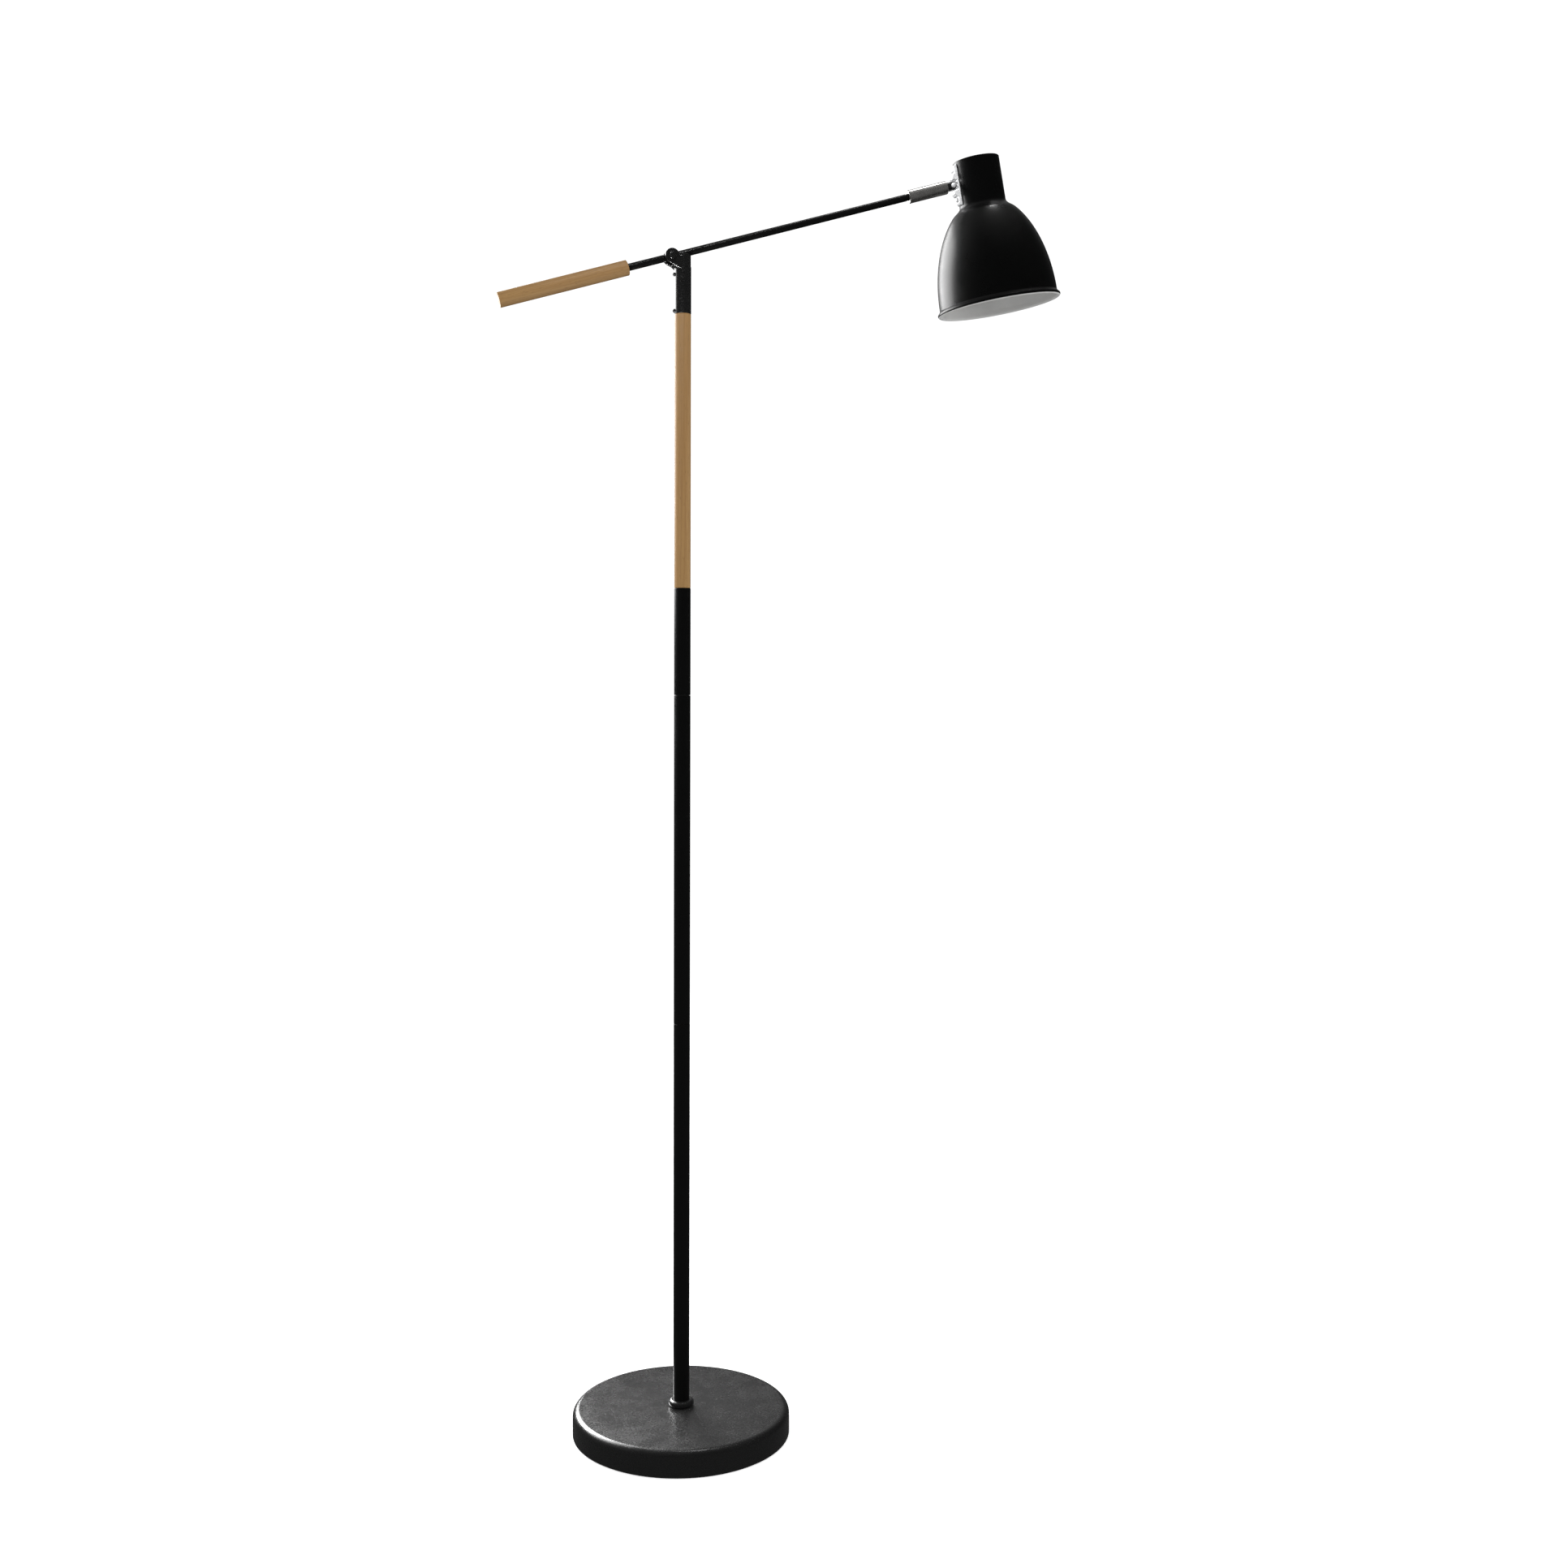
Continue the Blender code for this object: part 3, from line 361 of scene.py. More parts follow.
class Look(Nodes):
    """A procedural material, with short calls for the nodes that the finishes share.

    Textures are read in the piece's own coordinates, in metres, so at a scale of 1000 a feature is about
    1 mm across.
    """

    def __init__(self, name, **constants):
        self.material = bpy.data.materials.new(name)
        self.material.use_nodes = True
        super().__init__(self.material.node_tree)
        self.shader = self.tree.nodes["Principled BSDF"]
        for socket, value in constants.items():
            self.shader.inputs[socket.replace("_", " ")].default_value = value
        self.place = self.tree.nodes.new("ShaderNodeTexCoord").outputs["Object"]

    def stretched(self, shape=(1, 1, 1), offset=(0, 0, 0)):
        inputs = {"Vector": self.place, "Scale": shape, "Location": offset}
        return self.node("ShaderNodeMapping", inputs).outputs["Vector"]

    def noise(self, scale, detail=4.0, roughness=0.55, shape=(1, 1, 1), warp=0.0):
        inputs = {"Vector": self.stretched(shape), "Scale": scale, "Detail": detail}
        inputs.update({"Roughness": roughness, "Distortion": warp})
        return self.node("ShaderNodeTexNoise", inputs).outputs["Fac"]

    def spots(self, scale, shape=(1, 1, 1)):
        inputs = {"Vector": self.stretched(shape), "Scale": scale}
        return self.node("ShaderNodeTexVoronoi", inputs).outputs["Distance"]

    def rings(self, scale, offset, warp):
        inputs = {"Vector": self.stretched((1, 1, 0.06), offset), "Scale": scale}
        inputs.update({"Distortion": warp, "Detail": 2.0, "Detail Scale": 0.6})
        made = self.node("ShaderNodeTexWave", inputs, wave_type="RINGS", rings_direction="Z")
        return made.outputs["Fac"]

    def edges(self, start, end):
        """1 on convex edges and 0 elsewhere."""
        pointed = self.tree.nodes.new("ShaderNodeNewGeometry").outputs["Pointiness"]
        return self.spread(pointed, start, end, 0.0, 1.0)

    def math(self, operation, first, second):
        return self.node("ShaderNodeMath", {0: first, 1: second}, operation=operation).outputs[0]

    def blend(self, share, first, second):
        """A colour between two others, each a colour or a socket."""
        inputs = {0: share}
        for index, part in ((6, first), (7, second)):
            inputs[index] = part if isinstance(part, bpy.types.NodeSocket) else (*part, 1)
        return self.node("ShaderNodeMix", inputs, data_type="RGBA").outputs[2]

    def tint(self, source, limits, first, second, most=1.0):
        """The first colour going to the second, by this share at most, as the source rises."""
        return self.blend(self.spread(source, *limits, 0.0, most), first, second)

    def bump(self, height, strength, distance, under=None):
        inputs = {"Height": height, "Strength": strength, "Distance": distance}
        if under is not None:
            inputs["Normal"] = under
        return self.node("ShaderNodeBump", inputs).outputs["Normal"]

    def finish(self, colour, roughness, normal):
        for socket, source in (("Base Color", colour), ("Roughness", roughness), ("Normal", normal)):
            self.tree.links.new(source, self.shader.inputs[socket])
        return self.material


def powder_coat(name, dark, light, roughness, specular, peel, mottled):
    """Satin powder coat: a fine orange peel, slight unevenness of sheen, and a rubbed look on the edges."""
    look = Look(name, Specular_IOR_Level=specular)
    uneven = 0.035
    cloud = look.noise(45.0, 5.0)
    grain = look.noise(2300.0, 3.0, 0.7)
    worn = look.math("MULTIPLY", look.edges(0.52, 0.62), look.noise(210.0, 4.0, 0.7))
    colour = look.tint(grain, MIDDLE_NOISE, grey(dark), grey(light))
    colour = look.blend(worn, colour, grey(3.2 * light + 0.006))
    shine = look.spread(cloud, *NOISE, roughness - uneven, roughness + uneven)
    mottle = look.noise(420.0, 4.0, 0.75)
    shine = look.math("ADD", shine, look.spread(mottle, *MIDDLE_NOISE, -mottled, mottled))
    shine = look.math("SUBTRACT", shine, look.math("MULTIPLY", worn, 0.1))
    normal = look.bump(look.noise(1100.0, 2.0), peel, 0.14 * MM)
    normal = look.bump(grain, peel * 0.7, 0.06 * MM, normal)
    return look.finish(colour, shine, normal)


def white_enamel(name):
    """Matt white lining of the shade, with a faint grain and a little dust shading."""
    look = Look(name, Specular_IOR_Level=0.35)
    dust = look.noise(38.0, 5.0, 0.6)
    grain = look.noise(1600.0, 3.0, 0.6)
    colour = look.tint(dust, NOISE, (0.72, 0.72, 0.71), (0.8, 0.8, 0.79))
    shine = look.spread(grain, *NOISE, 0.42, 0.58)
    return look.finish(colour, shine, look.bump(grain, 0.18, 0.1 * MM))


def beech(name, heart):
    """Lacquered beech: growth rings about a distant heart, long fine grain and short dark flecks."""
    look = Look(name, Specular_IOR_Level=0.4, Coat_Weight=0.12, Coat_Roughness=0.35)
    ring = look.rings(150.0, heart, 5.0)
    streak = look.noise(620.0, 6.0, 0.62, (1, 1, 0.022), 0.3)
    pore = look.noise(3200.0, 2.0, 0.5, (1, 1, 0.03))
    broad = look.noise(70.0, 3.0, 0.5, (1, 1, 0.06))
    fleck = look.spread(look.spots(620.0, (1, 1, 0.13)), 0.08, 0.2, 1.0, 0.0)
    colour = look.tint(broad, NOISE, (0.48, 0.288, 0.108), (0.405, 0.225, 0.077))
    colour = look.tint(ring, (0.1, 0.95), colour, (0.33, 0.17, 0.058), 0.3)
    colour = look.tint(streak, (0.42, 0.68), colour, (0.32, 0.165, 0.056), 0.62)
    colour = look.tint(pore, (0.58, 0.72), colour, (0.2, 0.1, 0.035), 0.4)
    colour = look.blend(look.math("MULTIPLY", fleck, 0.5), colour, (0.17, 0.085, 0.03))
    shine = look.spread(streak, *NOISE, 0.46, 0.6)
    normal = look.bump(streak, 0.16, 0.14 * MM)
    normal = look.bump(pore, 0.12, 0.07 * MM, normal)
    return look.finish(colour, shine, normal)


def turned_metal(name, dark, light, roughness, lines):
    """Metal with fine tool lines round its turning axis, and rubbed edges."""
    look = Look(name, Metallic=0.9)
    uneven = 0.05
    line = look.noise(1.0, 3.0, 0.7, (40.0, 40.0, 3600.0))
    smear = look.noise(120.0, 5.0, 0.6)
    worn = look.edges(0.52, 0.6)
    rubbed = tuple(min(1, 1.18 * part) for part in light)
    colour = look.tint(smear, NOISE, dark, light)
    colour = look.blend(look.math("MULTIPLY", worn, 0.5), colour, rubbed)
    shine = look.spread(line, *NOISE, roughness - uneven, roughness + uneven)
    shine = look.math("ADD", shine, look.spread(smear, *NOISE, -0.03, 0.04))
    return look.finish(colour, shine, look.bump(line, lines, 0.03 * MM))


def polished_chrome(name):
    """Bright satin chrome on a casting, with faint handling marks. Not all mirror, so it stays light."""
    look = Look(name, Metallic=0.25, Specular_IOR_Level=0.8)
    smear = look.noise(260.0, 5.0, 0.65)
    wave = look.noise(420.0, 2.0)
    colour = look.tint(smear, (0.35, 0.7), (0.93, 0.94, 0.95), (0.85, 0.85, 0.86))
    shine = look.spread(smear, *NOISE, 0.16, 0.28)
    return look.finish(colour, shine, look.bump(wave, 0.12, 0.15 * MM))


def zinc_plate(name):
    """Zinc plated steel of the hidden fixings: mottled crystals and a soft sheen."""
    look = Look(name, Metallic=1.0)
    crystal = look.spots(900.0)
    smear = look.noise(200.0, 4.0, 0.6)
    colour = look.tint(crystal, (0.0, 0.6), (0.5, 0.51, 0.54), (0.62, 0.62, 0.64))
    shine = look.spread(smear, *NOISE, 0.28, 0.46)
    return look.finish(colour, shine, look.bump(crystal, 0.12, 0.08 * MM))


def cast_iron(name):
    """Sand-cast iron: coarse pitted skin with a trace of rust."""
    look = Look(name, Metallic=0.6)
    pit = look.noise(520.0, 6.0, 0.7)
    rust = look.noise(60.0, 5.0, 0.7)
    colour = look.tint(pit, NOISE, (0.045, 0.044, 0.045), (0.085, 0.083, 0.082))
    colour = look.tint(rust, (0.58, 0.75), colour, (0.12, 0.05, 0.022), 0.5)
    shine = look.spread(pit, *NOISE, 0.6, 0.85)
    return look.finish(colour, shine, look.bump(pit, 0.7, 0.5 * MM))


def soft_black(name, dark, light, roughness, grain_scale, depth):
    """Rubber or moulded plastic with a fine spark-eroded grain."""
    look = Look(name, Specular_IOR_Level=0.4)
    uneven = 0.08
    grain = look.noise(grain_scale, 4.0, 0.65)
    dust = look.noise(80.0, 5.0, 0.65)
    colour = look.tint(dust, (0.35, 0.75), grey(dark), grey(light))
    shine = look.spread(grain, *NOISE, roughness - uneven, roughness + uneven)
    return look.finish(colour, shine, look.bump(grain, 0.35, depth))


def ceramic(name):
    """Glazed steatite of the lampholder's insert, slightly speckled."""
    look = Look(name, Specular_IOR_Level=0.5, Coat_Weight=0.5, Coat_Roughness=0.12)
    speck = look.spots(700.0)
    cloud = look.noise(150.0, 4.0)
    colour = look.tint(cloud, NOISE, (0.78, 0.76, 0.7), (0.84, 0.83, 0.79))
    colour = look.blend(look.spread(speck, 0.02, 0.07, 0.35, 0.0), colour, (0.4, 0.36, 0.3))
    shine = look.spread(cloud, *NOISE, 0.3, 0.45)
    return look.finish(colour, shine, look.bump(cloud, 0.15, 0.1 * MM))


LOOKS = {
    "black_paint": powder_coat("black_paint", 0.005, 0.015, 0.27, 0.5, 0.42, 0.06),
    "black_tube": powder_coat("black_tube", 0.0022, 0.0042, 0.36, 0.28, 0.2, 0.03),
    "shade_black": powder_coat("shade_black", 0.0008, 0.0018, 0.32, 0.36, 0.14, 0.03),
    "white_inside": white_enamel("white_inside"),
    "beech": beech("beech", (0.03, -0.045, 0)),
    "beech_grip": beech("beech_grip", (-0.04, 0.03, 0)),
    "nickel": turned_metal("nickel", (0.5, 0.49, 0.47), (0.6, 0.59, 0.57), 0.24, 0.04),
    "chrome": polished_chrome("chrome"),
    "steel": zinc_plate("steel"),
    "cast_iron": cast_iron("cast_iron"),
    "rubber": soft_black("rubber", 0.014, 0.026, 0.75, 1500.0, 0.2 * MM),
    "black_plastic": soft_black("black_plastic", 0.011, 0.018, 0.5, 2600.0, 0.06 * MM),
    "white_ceramic": ceramic("white_ceramic"),
    "brass": turned_metal("brass", (0.62, 0.42, 0.15), (0.74, 0.53, 0.22), 0.3, 0.3),
}
LOOKS_ALONG_Z = ("beech_grip", "nickel", "brass")  # finishes whose grain follows the piece's own Z axis

# ---------- pieces


def add(node, mesh, look, body, placed=STAND, lining=None):
    """A new piece that stands for a CAD node, named after it, and rides on that node's body.

    The faces in the mesh's second material slot get the lining's finish, if there is a lining.
    """
    piece = bpy.data.objects.new(f"{node}_fine", mesh)
    bpy.context.scene.collection.objects.link(piece)
    slots = [polygon.material_index for polygon in mesh.polygons]
    mesh.materials.clear()
    mesh.materials.append(LOOKS[look])
    if lining:
        mesh.materials.append(LOOKS[lining])
        mesh.polygons.foreach_set("material_index", slots)
    if look in LOOKS_ALONG_Z:
        piece.matrix_world = placed
    else:
        mesh.transform(placed)
    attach(piece, body)
    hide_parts(node)
    return piece


def cross_recess(depth_at, half_width, half_length):
    """Cutters for a cross-shaped driver recess whose floor is at the given height."""
    top = depth_at + PAST
    first = block((-half_length, -half_width, depth_at), (half_length, half_width, top))
    second = block((-half_width, -half_length, depth_at), (half_width, half_length, top))
    return [first, second]


def domed_screw(head, height, shank, length, recess=True):
    """A domed head above Z = 0 with a cross recess, and its shank below."""
    lip = 0.15 * head  # height of the head's straight side
    outline = dome(head, height - lip, lip) + [(head, 0), (shank, 0), (shank, -length), (0, -length)]
    mesh = turned(outline, 64)
    if recess:
        cutters = cross_recess(height * 0.45, head * 0.11, head * 0.52)
        mesh = combined(mesh, cut=cutters)
    return mesh


def hex_nut(across_flats, bore, thickness):
    """A hexagon nut up its Z axis, with corners chamfered by a turned outline and a round hole."""
    corner = across_flats / 2 / math.cos(math.pi / 6)
    prism = turned([(0, thickness), (corner, thickness), (corner, 0), (0, 0)], 6)
    flat = across_flats / 2 * 0.96
    drop = (corner - flat) * 0.58  # the chamfers slope at 30 degrees
    cone = [(0, thickness), (flat, thickness), (corner, thickness - drop)]
    cone += [(corner, drop), (flat, 0), (0, 0)]
    return combined(prism, common=[turned(cone, 64)], cut=[rod(bore, -1 * MM, thickness + 1 * MM)])


def middle_of(node):
    low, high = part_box(node)
    return (low + high) / 2


def make_base():
    low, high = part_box("base_cover")
    radius = (high.x - low.x) / 2
    top = high.z
    foot = low.z
    wall = 1.2 * MM
    fillet = 8 * MM
    edge = 0.55 * MM
    corners = [
        (NIPPLE_HOLE, top), (radius, top, fillet), (radius, foot, edge),
        (radius - wall, foot, edge), (radius - wall, top - wall, fillet - wall),
        (NIPPLE_HOLE, top - wall),
    ]
    cover = turned(rounded(corners, 20), 224, closed=True)
    inlet = middle_of("cord_grommet")
    body = 4.2 * MM
    hole = moved(rod(body + GAP, 0, 30 * MM), (0, radius - PAST, inlet.z), TO_REAR)
    add("base_cover", combined(cover, cut=[hole]), "black_paint", "stand")

    low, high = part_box("base_pad")
    pad_radius = (high.x - low.x) / 2
    edge = 0.5 * MM
    pad = rounded([(0, high.z), (pad_radius, high.z, edge), (pad_radius, low.z, edge), (0, low.z)])
    add("base_pad", turned(pad, 160), "rubber", "stand")

    low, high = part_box("cord_grommet")
    face = radius + GAP
    bore = 3.2 * MM
    flange = (high.x - low.x) / 2
    lip = 5.5 * MM
    inner = radius - wall - 0.5 * MM
    corners = [
        (bore, high.y, 0.8 * MM), (flange, high.y, 1.1 * MM), (flange, face, 0.2 * MM),
        (body, face), (body, inner), (lip, inner, 0.2 * MM), (lip - 0.5 * MM, low.y, 0.4 * MM),
        (bore, low.y, 0.4 * MM),
    ]
    placed = axes((0, 0, inlet.z), REAR, UP)
    add("cord_grommet", turned(rounded(corners), 64, closed=True), "rubber", "stand", placed)

    low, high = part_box("base_collar")
    ring_radius = (high.x - low.x) / 2
    half = (high.z - low.z) / 2
    middle = (ring_radius - half, low.z + half)
    bore = POLE_RADIUS + 0.15 * MM
    outline = [(bore, high.z)] + arc(middle, half, 90, -90, 20) + [(bore, low.z)]
    add("base_collar", turned(outline, 128, closed=True), "black_paint", "stand")


def make_pole():
    for name in ("lower_tube", "middle_tube", "upper_tube"):
        low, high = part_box(name)
        outline = tube_outline(POLE_RADIUS, POLE_RADIUS - 1.15 * MM, low.z, high.z, 0.75 * MM)
        add(name, turned(outline, 96, closed=True), "black_tube", "stand")
    low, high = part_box("wood_pole")
    radius = (high.x - low.x) / 2
    tenon = 7.85 * MM
    bore = 5.4 * MM
    shoulder = 14 * MM
    edge = 0.25 * MM
    corners = [
        (bore, high.z), (tenon, high.z, edge), (tenon, high.z - shoulder),
        (radius, high.z - shoulder, edge), (radius, low.z + shoulder, edge),
        (tenon, low.z + shoulder), (tenon, low.z, edge), (bore, low.z),
    ]
    add("wood_pole", turned(rounded(corners, 4), 96, closed=True), "beech", "stand")


EAR_SLOPE = math.radians(26.4)
WEB_SLOPE = math.radians(40)
BOSS_RADIUS = 8 * MM
EAR_OUTSIDE = 9 * MM
EAR_RUN = 17.5 * MM  # length of the ears' straight lower edge, which ends inside the pole
WEB_HALF = 6.8 * MM
WEB_OFFSET = 7 * MM
SLOT_HALF = 4.4 * MM
SLOT_RADIUS = 5.3 * MM
ARM_LOWEST = math.radians(-13)
ARM_HIGHEST = math.radians(62)


def ear_outline():
    """The two ears about the pivot: a round boss whose straight lower edge runs into the pole."""
    tangent = 270 - math.degrees(EAR_SLOPE)
    boss = arc((0, 0), BOSS_RADIUS, tangent, 0, 40)
    low_x = boss[0][0] + EAR_RUN * math.cos(EAR_SLOPE)
    low_z = boss[0][1] - EAR_RUN * math.sin(EAR_SLOPE)
    return boss + [(low_x, 0), (low_x, low_z)]


def web_outline():
    """The narrower web under the ears, whose steeper underside ends on the pole."""
    foot_x = -WEB_OFFSET * math.sin(WEB_SLOPE)
    foot_z = -WEB_OFFSET * math.cos(WEB_SLOPE)
    left = -2.4 * MM
    right = 13 * MM
    start = (foot_x + left * math.cos(WEB_SLOPE), foot_z - left * math.sin(WEB_SLOPE))
    end = (foot_x + right * math.cos(WEB_SLOPE), foot_z - right * math.sin(WEB_SLOPE))
    top = -1 * MM  # inside the ears
    return [start, (-5 * MM, top), (9 * MM, top), (9 * MM, end[1]), end]


def slot_outline():
    """The room that the rods need about the pivot, from the arm's lowest tilt to its highest."""
    reach = 40 * MM
    front = Vector((math.cos(ARM_LOWEST), math.sin(ARM_LOWEST)))
    rear = Vector((-math.cos(ARM_HIGHEST), -math.sin(ARM_HIGHEST)))
    front_foot = Vector((front.y, -front.x)) * SLOT_RADIUS
    rear_foot = Vector((-rear.y, rear.x)) * SLOT_RADIUS
    across = rear.x * front.y - rear.y * front.x
    offset = front_foot - rear_foot
    along = (offset.x * front.y - offset.y * front.x) / across
    corner = rear_foot + rear * along
    front_end = front_foot + front * reach
    rear_end = rear_foot + rear * reach
    front_side = [tuple(corner), tuple(front_end), (front_end.x, reach)]
    return front_side + [(-reach, reach), (-reach, rear_end.y), tuple(rear_end)]


def make_top_fitting():
    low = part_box("top_fitting")[0]
    top = PIVOT.z + 3.3 * MM
    bore = 8.15 * MM
    inner_bore = 5.4 * MM
    seat = 14.3 * MM
    bore_top = top - 16.4 * MM
    corners = [
        (0, top), (POLE_RADIUS, top, 1.2 * MM), (POLE_RADIUS, low.z), (bore, low.z),
        (bore, low.z + seat), (inner_bore, low.z + seat), (inner_bore, bore_top), (0, bore_top),
    ]
    body = turned(rounded(corners), 96)
    ears = moved(bevelled(plate(ear_outline(), EAR_OUTSIDE), 1.1 * MM), PIVOT)
    web = moved(plate(web_outline(), WEB_HALF), PIVOT)
    slot = moved(plate(slot_outline(), SLOT_HALF), PIVOT)
    bolt = moved(rod(BOLT_HOLE, -PAST, PAST), PIVOT, TO_FRONT)
    lead = rod(3.2 * MM, bore_top - 5 * MM, top + 5 * MM)
    holes = []
    for name in ("set_screw_lower", "set_screw_upper"):
        height = middle_of(name).z
        holes.append(moved(rod(SET_SCREW_HOLE, -PAST, 0), (0, 0, height), TO_SIDE))
    mesh = combined(body, joined=[ears, web], cut=[slot, bolt, lead, *holes])
    add("top_fitting", cast(mesh, 0.3 * MM, 5), "black_paint", "stand")


def make_stand_screws():
    for name in ("set_screw_lower", "set_screw_upper"):
        low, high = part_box(name)
        height = middle_of(name).z
        seat = POLE_RADIUS + 0.12 * MM
        mesh = domed_screw(2.2 * MM, -low.x - seat, 1.5 * MM, high.x + seat)
        placed = axes((-seat, 0, height), (-1, 0, 0), REAR)
        add(name, mesh, "black_paint", "stand", placed)

    low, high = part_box("pivot_bolt")
    seat = EAR_OUTSIDE + 0.1 * MM
    bolt = domed_screw(4.4 * MM, -low.y - seat, 2.3 * MM, high.y + seat, recess=False)
    placed = axes((PIVOT.x, -seat, PIVOT.z), FRONT, UP)
    add("pivot_bolt", bolt, "black_paint", "stand", placed)

    low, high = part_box("pivot_cap_nut")
    thickness = 2.6 * MM
    crown_radius = 3.7 * MM
    crown_foot = thickness * 0.7
    depth = 2.8 * MM
    skirt = hex_nut(7.9 * MM, BOLT_HOLE, thickness)
    crown = dome(crown_radius, high.y - low.y - thickness, thickness, 12)
    crown += [(crown_radius, crown_foot), (BOLT_HOLE, crown_foot), (BOLT_HOLE, depth), (0, depth)]
    mesh = combined(skirt, joined=[turned(crown, 64)])
    placed = axes((PIVOT.x, low.y, PIVOT.z), REAR, UP)
    add("pivot_cap_nut", mesh, "black_paint", "stand", placed)


# Distances along the arm are counted from the pivot, positive towards the shade.
ROD_RADIUS = 4 * MM
ROD_BORE = 3.1 * MM
ROD_START = 8.5 * MM
ROD_END = 301.5 * MM
SPIGOT_END = 14 * MM
GRIP_NEAR = -51.4 * MM
GRIP_FAR = -200 * MM
GRIP_RADIUS = 8.5 * MM
SLEEVE_START = 290.5 * MM
SLEEVE_END = 339.2 * MM
SLEEVE_RADIUS = 7.5 * MM
JOURNAL_BORE = 6.2 * MM
FORK_RADIUS = 5.4 * MM
FORK_FLAT = 4.8 * MM
FORK_SLOT_HALF = 2.4 * MM
TONGUE_HALF = 2.1 * MM


def make_arm():
    half = 3.2 * MM
    eye = moved(rod(4.8 * MM, -half, half, 96), turn=TO_FRONT)
    reach = ROD_START - GAP
    height = ROD_RADIUS - 0.2 * MM
    bar = block((-height, -half, -reach), (height, half, reach))
    spigots = rod(2.8 * MM, -SPIGOT_END, SPIGOT_END)
    bolt = moved(rod(BOLT_HOLE, -PAST, PAST), turn=TO_FRONT)
    hub = combined(eye, joined=[bar, spigots], cut=[bolt])
    add("arm_hub", cast(hub, 0.2 * MM, 4), "black_paint", "arm", ARM)

    outline = tube_outline(ROD_RADIUS, ROD_BORE, ROD_START, ROD_END, 0.3 * MM)
    add("arm_rod", turned(outline, 72, closed=True), "black_tube", "arm", ARM)

    stud = 3 * MM
    stud_end = GRIP_NEAR - 25 * MM
    shoulder = GRIP_NEAR - 11 * MM
    blind = -SPIGOT_END - 1 * MM
    corners = [
        (0, blind), (ROD_BORE, blind), (ROD_BORE, -ROD_START), (ROD_RADIUS, -ROD_START, 0.3 * MM),
        (ROD_RADIUS, shoulder, 0.3 * MM), (stud, shoulder), (stud, stud_end, 0.4 * MM),
        (0, stud_end),
    ]
    add("rear_rod", turned(rounded(corners, 4), 72), "black_tube", "arm", ARM)

    bore = 5.6 * MM
    edge = 0.6 * MM
    blind = GRIP_FAR + 12 * MM
    corners = [
        (0, blind), (bore, blind), (bore, GRIP_NEAR, 0.4 * MM), (GRIP_RADIUS, GRIP_NEAR, edge),
        (GRIP_RADIUS, GRIP_FAR, edge), (0, GRIP_FAR),
    ]
    add("counterweight_wood", turned(rounded(corners, 5), 96), "beech_grip", "arm", ARM)
    fit = GAP / 2
    low = GRIP_NEAR - 9 * MM
    high = GRIP_NEAR - 0.6 * MM
    bush = tube_outline(bore - fit, ROD_RADIUS + fit, low, high, 0.4 * MM)
    add("counterweight_bush", turned(bush, 72, closed=True), "black_plastic", "arm", ARM)

    bore = ROD_RADIUS + 0.2 * MM
    web_start = 305 * MM
    web_end = 308 * MM
    hole = 2.3 * MM
    corners = [
        (JOURNAL_BORE, SLEEVE_END, 0.2 * MM), (SLEEVE_RADIUS, SLEEVE_END, 0.9 * MM),
        (SLEEVE_RADIUS, SLEEVE_START, 0.9 * MM), (bore, SLEEVE_START, 0.3 * MM), (bore, web_start),
        (hole, web_start), (hole, web_end), (JOURNAL_BORE, web_end),
    ]
    add("swivel_sleeve", turned(rounded(corners), 96, closed=True), "nickel", "arm", ARM)


def make_swivel():
    journal = JOURNAL_BORE - GAP
    start = 308.3 * MM
    inside = 324 * MM
    hole = 2.3 * MM
    dome_end = arc((0, KNUCKLE_REACH), FORK_RADIUS, 0, 90, 12)
    dome_end[-1] = (0, KNUCKLE_REACH + FORK_RADIUS)
    outline = [(0, inside), (hole, inside), (hole, start), (journal, start), (journal, SLEEVE_END - GAP)]
    outline += [(FORK_RADIUS, SLEEVE_END)] + dome_end
    root = SLEEVE_END + 1.3 * MM
    tip = KNUCKLE_REACH + PAST
    slot = block((-PAST, -FORK_SLOT_HALF, root), (PAST, FORK_SLOT_HALF, tip))
    flats = []
    for side in (-1, 1):
        faces = sorted((side * FORK_FLAT, side * PAST))
        flats.append(block((-PAST, faces[0], root), (PAST, faces[1], tip)))
    pin = moved(rod(KNUCKLE_HOLE, -PAST, PAST), (0, 0, KNUCKLE_REACH), TO_FRONT)
    fork = combined(turned(outline, 96), cut=[slot, *flats, pin])
    add("swivel_fork", cast(fork, 0.16 * MM, 3), "black_paint", "swivel", ARM)

    low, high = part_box("knuckle_screw")
    seat = FORK_FLAT + 0.1 * MM
    screw = domed_screw(2.8 * MM, -low.y - seat, 1.35 * MM, high.y + seat)
    placed = axes((KNUCKLE.x, -seat, KNUCKLE.z), FRONT, UP)
    add("knuckle_screw", screw, "chrome", "swivel", placed)
    low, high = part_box("knuckle_nut")
    placed = axes((KNUCKLE.x, low.y, KNUCKLE.z), (0, 1, 0), NECK_UP)
    add("knuckle_nut", hex_nut(5.5 * MM, KNUCKLE_HOLE, high.y - low.y), "steel", "swivel", placed)


